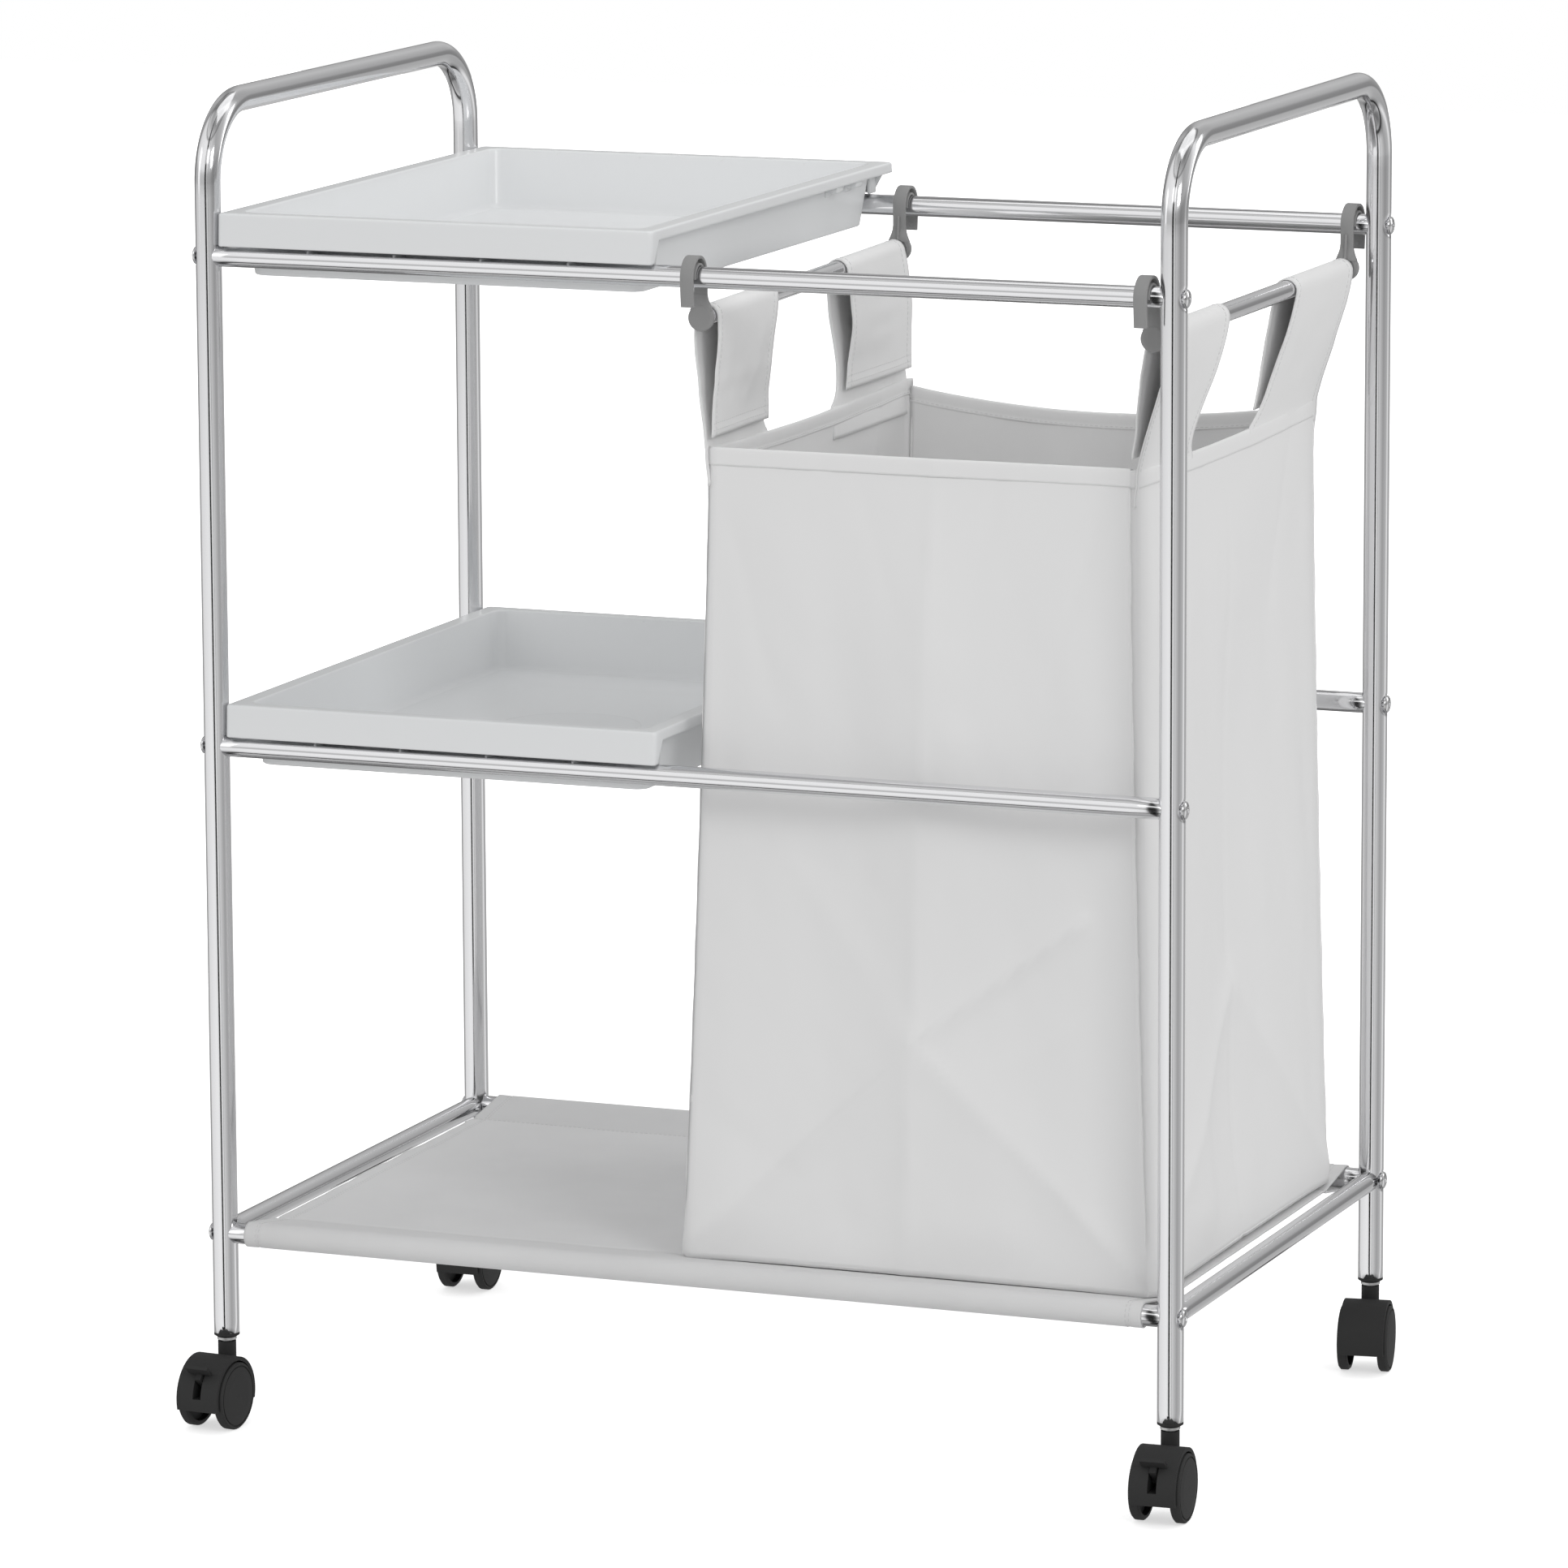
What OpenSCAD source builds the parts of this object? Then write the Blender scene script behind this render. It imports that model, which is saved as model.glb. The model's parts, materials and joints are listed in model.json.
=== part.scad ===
// Laundry sorter on wheels: a tube cart with two lift-off trays on the left, a fabric shelf
// at the bottom and a hanging hamper bag on the right, on four twin-wheel swivel casters.
// Frame: +Z up, +X to the right along the long side, +Y to the rear.
// The origin is on the floor, midway between the four posts.

/* [Cart size] */
// Distance between the left and right posts, centre to centre
post_pitch_x = 741; // [620:1:900]
// Distance between the front and rear posts, centre to centre
post_pitch_y = 462; // [380:1:560]
// Height of the handle tube's centre line
handle_z = 980.5; // [945:0.5:1200]
// Height of the open lower end of each post
post_bottom_z = 68.5; // [67:0.5:100]

/* [Tubes] */
// Outside diameter of the side frames' tube
post_d = 19; // [17:0.5:25]
// Wall of the side frames' tube
post_wall = 1.0; // [0.8:0.1:1.5]
// Centre-line radius of the two bends under each handle
bend_r = 57; // [40:1:90]
// Outside diameter of the cross rails
rail_d = 15.5; // [13:0.5:16]
// Wall of the cross rails
rail_wall = 0.9; // [0.7:0.1:1.5]

/* [Rail heights] */
// Height of the bottom rails' centre line
bottom_rail_z = 144.1; // [125:0.1:180]
// Height of the middle rails' centre line
middle_rail_z = 510.5; // [430:0.5:620]
// Height of the top rails' centre line
top_rail_z = 871.5; // [840:0.5:890]

/* [Rail screws] */
// Diameter of the screws' shank
screw_d = 6; // [4:0.5:6]
// Length of the screws' shank
screw_length = 40; // [34:1:60]
// Diameter of the screws' button head
screw_head_d = 13.5; // [10:0.5:15]
// Height of the screws' button head
screw_head_h = 3.2; // [2.4:0.1:4.5]
// Width across the flats of the hex socket
screw_socket = 4; // [3:0.5:5]
// Length of the threaded insert in each rail end
insert_length = 22; // [15:1:30]

/* [Trays] */
// Width of each tray, left to right
tray_w = 340.5; // [280:0.5:345]
// How far the trays reach past the rails' centre lines, front and rear
tray_overhang = 9; // [8:0.5:14]
// Height of the tray rim above the rails
tray_rise = 24; // [18:1:35]
// Depth of the tray body below the rails' top
tray_drop = 23; // [17:1:40]
// Wall of the trays
tray_wall = 2.2; // [1.6:0.1:3]
// Width of the flat rim round the tray
tray_rim = 14; // [13.5:0.5:20]
// Height of the lip under the rim's edge
tray_lip = 7.8; // [5:0.1:12]
// How far the tray's inner wall slopes in from the rim to the floor, at the front and rear
tray_slope_y = 10; // [9.5:0.5:16]
// How far the tray's inner wall slopes in from the rim to the floor, left and right
tray_slope_x = 4.5; // [2:0.5:10]
// Corner radius of the tray's inside
tray_corner_r = 9; // [5:1:16]

/* [Shelf] */
// Thickness of the bottom shelf's cloth
shelf_thickness = 1.6; // [1:0.1:3]
// Width of the flattened sleeve from each rail to its seam
shelf_sleeve = 50; // [30:1:80]
// Bare length of rail left at each end of the shelf
shelf_end_gap = 10; // [8:1:25]

/* [Hamper bag] */
// Width of the bag at its hem
bag_top_w = 325; // [260:1:330]
// Width of the bag at its bottom
bag_bottom_w = 364; // [280:1:364]
// Distance from the front and rear rails' centre lines to the bag
bag_end_gap = 31; // [29:1:80]
// Height of the bag's hem
bag_hem_z = 743.5; // [650:0.5:780]
// Thickness of the bag's cloth and lining
bag_wall = 3; // [1.5:0.1:4]
// Corner radius of the bag in plan
bag_corner_r = 10; // [6:1:30]
// Length of each strap along its rod
strap_w = 124; // [80:1:130]
// Thickness of the strap's cloth
strap_wall = 1.6; // [1:0.1:2.5]

/* [Hangers] */
// Outside diameter of the hanger rods
rod_d = 14; // [12:0.5:14]
// Wall of the hanger rods
rod_wall = 0.8; // [0.6:0.1:1.2]
// Drop from the top rails' centre line to the hanger rods' centre line
rod_drop = 31; // [27:0.5:45]
// Place of the left hanger's front hook along the rail
left_hook_front_x = 10; // [0:0.5:15]
// Place of the left hanger's rear hook along the rail
left_hook_rear_x = -6; // [-10:0.5:10]
// Distance from the right posts' centre line to the right hanger's hooks
right_hook_inset = 20; // [20:0.5:40]

/* [Hooks] */
// Width of the hook's band along the rail
hook_w = 10; // [8:0.5:14]
// Outside radius of the hook's arch
hook_r = 15.5; // [13:0.5:18]
// Thickness of the hook's band
hook_band = 2.4; // [1.8:0.1:3.5]
// Thickness of the web and the saddle inside the arch
hook_rib = 1.8; // [1.2:0.1:3]
// Drop from the rail's centre line to the tip of the hook's tongue
hook_tongue = 20; // [14:0.5:26]
// Diameter of the disc that caps the rod
hook_disc_d = 19; // [17:0.5:24]
// Thickness of the disc that caps the rod
hook_disc_t = 4.5; // [3:0.5:6]

/* [Casters] */
// Wheel diameter
wheel_d = 50; // [40:1:50]
// Wheel tread width
wheel_w = 7.5; // [6:0.5:9]
// Overall width across the two wheels of a caster
caster_w = 38; // [36:0.5:50]
// Distance from the swivel axis to the axle
caster_trail = 18; // [14:0.5:20]
// Thickness of the hood over the treads
hood_wall = 3; // [2:0.1:3.5]
// Diameter of the hood's neck
neck_d = 13.5; // [12:0.5:16]
// Diameter of the caster stem
stem_d = 8; // [6:0.5:8]
// Diameter of the wheel axle
axle_d = 6; // [4:0.5:8]
// Turn of the front left caster
front_left_turn = -4; // [-180:1:180]
// Turn of the front right caster
front_right_turn = 3; // [-180:1:180]
// Turn of the rear left caster
rear_left_turn = 2; // [-180:1:180]
// Turn of the rear right caster
rear_right_turn = 9; // [-180:1:180]

/* [Hidden] */
$fn = 64;

// Clearances
seat_gap = 0.05;      // between pieces that are fastened to each other
running_gap = 0.05;   // radial, between a pin and its bore
rest_gap = 0.35;      // between pieces that only rest on each other
saddle_gap = 0.6;     // between a hook's saddle and the rail
cut = 1;              // how far a cutter runs past the face it opens

// Frame
post_r = post_d / 2;
rail_r = rail_d / 2;
rail_bore_r = rail_r - rail_wall;
post_x = post_pitch_x / 2;
post_y = post_pitch_y / 2;
LEFT = -1;
RIGHT = 1;
FRONT = -1;
REAR = 1;
rail_levels = [bottom_rail_z, middle_rail_z, top_rail_z];
screw_seat = 0.8;                         // depth of the flat that each head sits on
screw_seat_x = post_r - screw_seat;
screw_clearance = 0.3;                    // radial, where the shank passes through the post
socket_depth = 2;
insert_start = post_r + 3;                // from the post's axis to the insert
weld_cope_gap = 0.3;                      // between a side rail's end and the cross rails

// Post end plugs
plug_flange_h = 2;
plug_dome_h = 1.6;
plug_length = 36;
plug_bottom_z = post_bottom_z - plug_flange_h - plug_dome_h;
plug_dome_r = post_r - 2.5;

// Casters
wheel_r = wheel_d / 2;
stem_r = stem_d / 2;
axle_r = axle_d / 2;
axle_z = wheel_r;
wheel_well_gap = 1.3;                     // between tread and hood
hood_r = wheel_r + wheel_well_gap + hood_wall;
hood_half_w = caster_w / 2 - 2;           // the wheels stand 2 mm out of the hood
web_gap = 0.7;                            // between wheel and the hood's middle web
web_half_w = caster_w / 2 - wheel_w - web_gap;
hood_bottom_z = axle_z - 7.5;
collar_h = 1.8;
collar_r = 7.2;
collar_top_z = plug_bottom_z - seat_gap;
neck_top_z = collar_top_z - collar_h - 1.4;
stem_bottom_z = neck_top_z - 14;
stem_top_z = post_bottom_z + 30;
wheel_cap_t = 1.5;                        // closed outer face over the axle's end
wheel_dome = 0.9;
wheel_groove = 0.8;
axle_half_l = caster_w / 2 - wheel_cap_t - 0.5;
tread_edge = 1.2;

// Brake lever, in the plane across the axle: forward of the axle and up
lever_pivot = [13, axle_z + 9];
lever_slot_half_w = 3.3;
lever_half_w = 2.8;
lever_arm_half_w = 2.4;
lever_boss_r = 4;
lever_pin_r = 1.8;
lever_pin_half_l = 7;
lever_arm_t = 6.5;
lever_arm_rise = 40;                      // angle of the arm above the floor
lever_arm_l = 16;
pedal_half_w = 9.3;
pedal_t = 2.6;
pedal_l = 8.5;
pedal_lap = 1.2;                          // how far the pedal reaches back over its arm
slot_bottom_z = axle_z + 2;
slot_top_z = axle_z + 22.5;

// Trays
tray_left_x = -post_x + post_r + 1.5;
tray_depth = post_pitch_y + 2 * tray_overhang;
tray_return = 12;                         // depth of the front skirt's returned ends
rib_t = 2;

// Shelf
shelf_w = post_pitch_x - 2 * (post_r + shelf_end_gap);
shelf_bore_r = rail_r + 0.15;
shelf_sleeve_r = shelf_bore_r + shelf_thickness;
sleeve_slit = 0.1;                        // half the space between the sleeve's plies at the seam

// Hangers
rod_r = rod_d / 2;
rod_z = top_rail_z - rod_drop;
right_hook_x = post_x - right_hook_inset;
stem_inset = hook_r - hook_band;          // from the rail's centre line to the disc's face
left_rod_x = (left_hook_front_x + left_hook_rear_x) / 2;
left_rod_turn = atan2(left_hook_front_x - left_hook_rear_x, post_pitch_y);
spigot_l = 12;
hook_neck = 7;                            // from the disc's edge up to the stem's full width
disc_proud = 0.3;                         // how far the disc stands out of the stem
arch_steps = 24;
tongue_tip_in = 1.5;                      // how far the tongue leans in at its tip

// Bag
bag_depth = post_pitch_y - 2 * bag_end_gap;
bag_clear = 0.7;                          // between the bag and the shelf's sleeves
bag_bottom_z = bottom_rail_z + sleeve_rise(bag_end_gap) + bag_clear;
bag_middle_x = (left_rod_x + right_hook_x) / 2 - 7;
bag_flare_x = -4.5;                       // the bottom sits this much further left than the hem
strap_centre_y = bag_depth / 2 + 2 - strap_w / 2;
strap_top_r = rod_r + 0.3 + strap_wall;
strap_foot_w = 2 * strap_wall + 1;
strap_foot_h = 6;

// A tube along +Z, from z = 0
module tube(outer_r, inner_r, length) {
    difference() {
        cylinder(r = outer_r, h = length);
        translate([0, 0, -cut]) cylinder(r = inner_r, h = length + 2 * cut);
    }
}

// Turns +Z to run along +X
module along_x() {
    rotate([0, 90, 0]) children();
}

// Turns +Z to run along +Y
module along_y() {
    rotate([-90, 0, 0]) children();
}

// Points on an arc about 0, 0 from one angle to another
function arch(r, from, to) = [
    for (i = [0 : arch_steps]) let (a = from + (to - from) * i / arch_steps) [r * cos(a), r * sin(a)]
];

// Half ring over the rail, as deep as the hook or its rib is wide
module half_ring(outer_r, inner_r, width) {
    across_rail(width) polygon(concat(arch(outer_r, 0, 180), arch(inner_r, 180, 0)));
}

// Takes a shape drawn with y to the right and z up, and gives it a width along the rail
module across_rail(width) {
    translate([-width / 2, 0, 0]) rotate([90, 0, 90]) linear_extrude(width) children();
}

// Quarter bend of the side frame's tube, from straight up to straight back
module frame_bend() {
    rotate([0, -90, 0]) rotate_extrude(angle = 90) translate([bend_r, 0]) difference() {
        circle(r = post_r);
        circle(r = post_r - post_wall);
    }
}

// One post with the screw holes and seats of its three rails
module post(side, end) {
    length = handle_z - bend_r - post_bottom_z;
    translate([0, end * post_y, post_bottom_z]) difference() {
        tube(post_r, post_r - post_wall, length);
        for (level = rail_levels) translate([0, 0, level - post_bottom_z]) {
            translate([-post_r - cut, 0, 0]) along_x()
                cylinder(r = screw_d / 2 + screw_clearance, h = post_d + 2 * cut);
            translate([side > 0 ? screw_seat_x : -screw_seat_x - 2 * cut, 0, 0]) along_x()
                cylinder(r = screw_head_d / 2 + 0.4, h = 2 * cut);
        }
    }
}

// Inverted U of one tube: two posts, two bends and the handle
module side_frame(side) {
    straight = post_pitch_y - 2 * bend_r;
    color("silver") translate([side * post_x, 0, 0]) {
        post(side, FRONT);
        post(side, REAR);
        for (end = [FRONT, REAR]) mirror([0, end > 0 ? 1 : 0, 0])
            translate([0, -post_y + bend_r, handle_z - bend_r]) mirror([0, 1, 0]) frame_bend();
        translate([0, -straight / 2, handle_z]) along_y() tube(post_r, post_r - post_wall, straight);
    }
}

// Cross rail between two posts, its ends coped to them
module cross_rail(end, level) {
    color("silver") difference() {
        translate([-post_x, end * post_y, level]) along_x() tube(rail_r, rail_bore_r, post_pitch_x);
        for (side = [LEFT, RIGHT]) translate([side * post_x, end * post_y, level - rail_d])
            cylinder(r = post_r + seat_gap, h = 2 * rail_d);
    }
}

// Side rail welded between a front and a rear post, clear of the cross rails' ends
module side_rail(side) {
    color("silver") difference() {
        translate([side * post_x, -post_y, bottom_rail_z]) along_y()
            tube(rail_r, rail_bore_r, post_pitch_y);
        for (end = [FRONT, REAR]) translate([side * post_x, end * post_y, bottom_rail_z]) {
            translate([0, 0, -rail_d]) cylinder(r = post_r + seat_gap, h = 2 * rail_d);
            translate([-rail_d, 0, 0]) along_x()
                cylinder(r = rail_r + weld_cope_gap, h = 2 * rail_d);
        }
    }
}

// Runs its children once at every screwed joint, with +X pointing along the rail, inwards
module at_rail_ends() {
    for (side = [LEFT, RIGHT], end = [FRONT, REAR], level = rail_levels)
        translate([side * post_x, end * post_y, level]) mirror([side > 0 ? 1 : 0, 0, 0]) children();
}

module rail_end_inserts() {
    color("dimgray") at_rail_ends() translate([insert_start, 0, 0]) along_x()
        tube(rail_bore_r - seat_gap, screw_d / 2 + running_gap, insert_length);
}

// Button-head screw with its axis on +X and its head's underside at x = 0
module button_screw() {
    head_r = screw_head_d / 2;
    crown = (head_r * head_r + screw_head_h * screw_head_h) / (2 * screw_head_h);
    along_x() cylinder(r = screw_d / 2, h = screw_length);
    difference() {
        intersection() {
            translate([-screw_head_h, 0, 0]) along_x() cylinder(r = head_r, h = screw_head_h);
            translate([crown - screw_head_h, 0, 0]) sphere(r = crown);
        }
        translate([-screw_head_h - cut, 0, 0]) along_x()
            cylinder(r = screw_socket / 2 / cos(30), h = socket_depth + cut, $fn = 6);
    }
}

module frame_screws() {
    color("gainsboro") at_rail_ends() translate([-screw_seat_x - seat_gap, 0, 0]) button_screw();
}

// Plastic plug in the foot of a post, bored for the caster's stem
module end_plug() {
    difference() {
        union() {
            translate([0, 0, post_bottom_z]) cylinder(r = post_r - post_wall - seat_gap, h = plug_length);
            translate([0, 0, post_bottom_z - seat_gap - plug_flange_h])
                cylinder(r = post_r, h = plug_flange_h);
            translate([0, 0, post_bottom_z - seat_gap]) cylinder(r = stem_r + 3, h = 2 * seat_gap);
            translate([0, 0, plug_bottom_z])
                cylinder(r1 = plug_dome_r, r2 = post_r, h = plug_dome_h - seat_gap);
        }
        translate([0, 0, plug_bottom_z - cut])
            cylinder(r = stem_r + running_gap, h = plug_length + plug_flange_h + plug_dome_h + 2 * cut);
    }
}

module post_end_plugs() {
    color("black") for (side = [LEFT, RIGHT], end = [FRONT, REAR])
        translate([side * post_x, end * post_y, 0]) end_plug();
}

// Height of the sleeve's upper face over the rail's centre line, this far in from the rail
function sleeve_rise(inwards) = let (wrap = acos(shelf_sleeve_r / shelf_sleeve))
    shelf_thickness / 2 + max(0, shelf_sleeve - inwards)
    * (shelf_sleeve_r * sin(wrap) - shelf_thickness / 2)
    / (shelf_sleeve - shelf_sleeve_r * cos(wrap));

// One sleeve in section, from its seam round the rail and back, with the rail's centre at 0, 0
function sleeve(r, tip, reach) = let (wrap = acos(r / reach))
    concat([[reach, tip]], arch(r, wrap, 360 - wrap), [[reach, -tip]]);

// Cloth shelf with a sleeve round the front and the rear bottom rail
module shelf_fabric() {
    half = shelf_thickness / 2;
    hollow = sleeve(shelf_bore_r, sleeve_slit, shelf_sleeve - 2 * shelf_thickness);
    outside = sleeve(shelf_sleeve_r, half, shelf_sleeve);
    color("whitesmoke") translate([0, 0, bottom_rail_z]) across_rail(shelf_w) difference() {
        polygon(concat(
            [for (p = outside) p + [-post_y, 0]],
            [for (p = outside) [post_y, 0] - p]
        ));
        polygon([for (p = hollow) p + [-post_y, 0]]);
        polygon([for (p = hollow) [post_y, 0] - p]);
    }
}

// Tapered tub between two rounded rectangles, grown outwards by a wall
module tray_tub(grow, bottom_z, top_z) {
    hull() {
        for (level = [[bottom_z, 1], [top_z, 0]], sx = [0, 1], sy = [-1, 1]) {
            in_x = tray_rim + level[1] * tray_slope_x - grow;
            in_y = tray_rim + level[1] * tray_slope_y - grow;
            corner = tray_corner_r + grow;
            translate([
                sx == 0 ? in_x + corner : tray_w - in_x - corner,
                sy * (tray_depth / 2 - in_y - corner),
                level[0]
            ]) cylinder(r = corner, h = 0.01, $fn = 32);
        }
    }
}

// Moulded tray: its skirts stand on two rails and its body hangs between them.
// Its own z = 0 is the rails' top and its own x = 0 the rim's left edge.
module tray() {
    half = tray_depth / 2;
    difference() {
        union() {
            translate([0, -half, tray_rise - tray_lip]) cube([tray_w, tray_depth, tray_lip]);
            translate([0, -half, 0]) cube([tray_w, tray_return, tray_rise - tray_lip + cut]);
            translate([tray_rim, half - tray_rim, 0])
                cube([tray_w - 2 * tray_rim, tray_rim, tray_rise - tray_lip + cut]);
            tray_tub(tray_wall, -tray_drop, tray_rise - tray_lip);
        }
        // the open inside
        tray_tub(0, -tray_drop + tray_wall, tray_rise + 0.01);
        // the hollow under the rim
        difference() {
            translate([tray_wall, -half + tray_wall, -tray_drop - cut])
                cube([tray_w - 2 * tray_wall, tray_depth - 2 * tray_wall,
                      tray_drop + tray_rise - tray_wall + cut]);
            tray_tub(tray_wall, -tray_drop, tray_rise + 0.01);
            translate([0, -half, 0]) cube([tray_wall, tray_return, tray_rise]);
            translate([tray_w - tray_wall, -half, 0]) cube([tray_wall, tray_return, tray_rise]);
            for (x = [tray_rim, tray_w - tray_rim - tray_wall])
                translate([x, half - tray_rim, 0]) cube([tray_wall, tray_rim, tray_rise]);
            for (x = [1 : 4]) translate([tray_w * x / 5, 0, 0]) {
                translate([0, half - tray_rim, 0]) cube([rib_t, tray_rim, tray_rise]);
                translate([0, -half, 0]) cube([rib_t, tray_rim, tray_rise]);
            }
        }
    }
}

module placed_tray(level) {
    color("whitesmoke") translate([tray_left_x, 0, level + rail_r + rest_gap]) tray();
}

// Left hanger stands a little askew on the rails; the right one is square to them
module at_hanger(side) {
    translate([side < 0 ? left_rod_x : right_hook_x, 0, rod_z])
        rotate([0, 0, side < 0 ? left_rod_turn : 0]) children();
}

function hanger_turn(side) = side < 0 ? left_rod_turn : 0;
function rail_reach(side) = post_y / cos(hanger_turn(side));
function disc_reach(side) = rail_reach(side) - stem_inset;

module hanger_rod(side) {
    length = 2 * (disc_reach(side) - hook_disc_t - seat_gap);
    color("silver") at_hanger(side) translate([0, -length / 2, 0]) along_y()
        tube(rod_r, rod_r - rod_wall, length);
}

// Hook: an arch over the rail with a tongue outside, and inside a stem to a disc on the rod.
// It is drawn for the front end, with the rail's centre at y = 0, z = 0 and +Y inwards.
module hook_shape() {
    saddle_r = rail_r + saddle_gap;
    inner_r = hook_r - hook_band;
    stem_end = -rod_drop + hook_disc_d / 2 + hook_neck;
    across_rail(hook_w) polygon(concat(
        arch(hook_r, 0, 180),
        [[-hook_r + tongue_tip_in, -hook_tongue], [-inner_r + tongue_tip_in, -hook_tongue]],
        arch(inner_r, 180, 0),
        [[inner_r, stem_end], [hook_r, stem_end]]
    ));
    half_ring(saddle_r + hook_rib, saddle_r, hook_w);
    half_ring(inner_r + 0.5, saddle_r + hook_rib - 0.5, hook_rib);
    // the disc on the rod's end, with the stem widening into it
    translate([0, stem_inset - disc_proud, -rod_drop]) {
        hull() {
            along_y() cylinder(r = hook_disc_d / 2, h = hook_disc_t, $fn = 48);
            translate([-hook_w / 2 + 0.3, 0, hook_disc_d / 2 + hook_neck])
                cube([hook_w - 0.6, hook_disc_t, 1]);
        }
        translate([0, 1, 0]) along_y()
            cylinder(r = rod_r - rod_wall - seat_gap, h = hook_disc_t - 1 + spigot_l);
    }
}

module hook(side, end) {
    color("gray") at_hanger(side) mirror([0, end > 0 ? 1 : 0, 0])
        translate([0, -rail_reach(side), rod_drop]) hook_shape();
}

// Bag outline at one height, in plan, drawn in by an inset
module bag_outline(width, middle_x, z, inset) {
    corner = bag_corner_r;
    for (sx = [-1, 1], sy = [-1, 1])
        translate([
            middle_x + sx * (width / 2 - inset - corner),
            sy * (bag_depth / 2 - inset - corner), z
        ]) cylinder(r = corner, h = 0.01, $fn = 32);
}

// Hanging bag, open at the top
module bag_body() {
    color("white") difference() {
        hull() {
            bag_outline(bag_bottom_w, bag_middle_x + bag_flare_x, bag_bottom_z, 0);
            bag_outline(bag_top_w, bag_middle_x, bag_hem_z, 0);
        }
        hull() {
            bag_outline(bag_bottom_w, bag_middle_x + bag_flare_x, bag_bottom_z + bag_wall, bag_wall);
            bag_outline(bag_top_w, bag_middle_x, bag_hem_z + cut, bag_wall);
        }
    }
}

// The round of a strap over its rod and its foot on the bag's hem, grown by a wall
module strap_loop(side, grow, reach) {
    foot_x = bag_middle_x + side * (bag_top_w - bag_wall) / 2;
    over = (side < 0 ? left_rod_x : right_hook_x);
    hull() {
        translate([over, 0, rod_z]) rotate([0, 0, hanger_turn(side)]) translate([0, -reach / 2, 0])
            along_y() cylinder(r = rod_r + 0.3 + grow, h = reach, $fn = 32);
        translate([foot_x - 0.5 - grow, -reach / 2, bag_hem_z + 0.3 + strap_foot_h - grow * 2])
            cube([1 + 2 * grow, reach, 1]);
    }
}

module strap(side, end) {
    length = strap_centre_y + strap_w / 2;
    color("white") intersection() {
        difference() {
            strap_loop(side, strap_wall, 2 * length);
            strap_loop(side, 0, 2 * length + 2 * cut);
        }
        translate([-post_x, end > 0 ? strap_centre_y - strap_w / 2 : -length, 0])
            cube([post_pitch_x, strap_w, handle_z]);
    }
}

// Casters: name order is front left, front right, rear left, rear right
module at_caster(side, end) {
    turn = end < 0 ? (side < 0 ? front_left_turn : front_right_turn)
                   : (side < 0 ? rear_left_turn : rear_right_turn);
    translate([side * post_x, end * post_y, 0]) rotate([0, 0, turn]) children();
}

module caster_stem(side, end) {
    color("silver") at_caster(side, end) {
        translate([0, 0, stem_bottom_z]) cylinder(r = stem_r, h = stem_top_z - stem_bottom_z);
        translate([0, 0, collar_top_z - collar_h]) cylinder(r = collar_r, h = collar_h);
    }
}

// Cutter for the brake lever's slot, its pivot bore included
module lever_slot() {
    translate([-lever_slot_half_w, -hood_r - cut, slot_bottom_z])
        cube([2 * lever_slot_half_w, hood_r + cut - lever_pivot[0] + lever_boss_r + 1,
              slot_top_z - slot_bottom_z]);
    translate([-lever_pin_half_l - 0.3, -lever_pivot[0], lever_pivot[1]]) along_x()
        cylinder(r = lever_pin_r + running_gap, h = 2 * lever_pin_half_l + 0.6);
}

module caster_hood(side, end) {
    color("black") at_caster(side, end) difference() {
        union() {
            translate([0, -caster_trail, 0]) intersection() {
                translate([-hood_half_w, 0, axle_z]) along_x() cylinder(r = hood_r, h = 2 * hood_half_w);
                translate([-hood_r, -hood_r, hood_bottom_z]) cube([2 * hood_r, 2 * hood_r, 2 * hood_r]);
            }
            translate([0, 0, axle_z]) cylinder(r = neck_d / 2, h = neck_top_z - axle_z);
        }
        for (wall = [LEFT, RIGHT]) mirror([wall < 0 ? 1 : 0, 0, 0])
            translate([web_half_w, -caster_trail, axle_z]) along_x()
                cylinder(r = wheel_r + wheel_well_gap, h = hood_half_w);
        translate([0, 0, stem_bottom_z - 0.5])
            cylinder(r = stem_r + running_gap, h = neck_top_z - stem_bottom_z + cut);
        translate([-hood_half_w, -caster_trail, axle_z]) along_x()
            cylinder(r = axle_r + 0.02, h = 2 * hood_half_w);
        if (end < 0) translate([0, -caster_trail, 0]) lever_slot();
    }
}

module caster_axle(side, end) {
    color("silver") at_caster(side, end) translate([-axle_half_l, -caster_trail, axle_z]) along_x()
        cylinder(r = axle_r, h = 2 * axle_half_l);
}

// Wheel with a domed, grooved outer face and a hollow inner side; the axle's end is covered
module caster_wheel(side, end, hand) {
    inner = caster_w / 2 - wheel_w;
    outer = caster_w / 2;
    color("black") at_caster(side, end) mirror([hand < 0 ? 1 : 0, 0, 0])
        translate([0, -caster_trail, axle_z]) along_x() rotate_extrude() difference() {
            polygon([
                [0, inner], [wheel_r - tread_edge, inner], [wheel_r, inner + tread_edge],
                [wheel_r, outer - tread_edge], [wheel_r - tread_edge, outer],
                [wheel_r - 2.2, outer], [wheel_r - 2.4, outer - wheel_groove],
                [wheel_r - 3.2, outer - wheel_groove], [wheel_r - 3.4, outer],
                [wheel_r * 0.6, outer + wheel_dome * 0.7], [0, outer + wheel_dome]
            ]);
            translate([0, inner - cut]) square([axle_r + running_gap, outer - wheel_cap_t - inner + cut]);
            translate([axle_r + 3, inner - cut])
                square([wheel_r - axle_r - 6.5, wheel_w - wheel_cap_t - 1.5 + cut]);
        }
}

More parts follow.
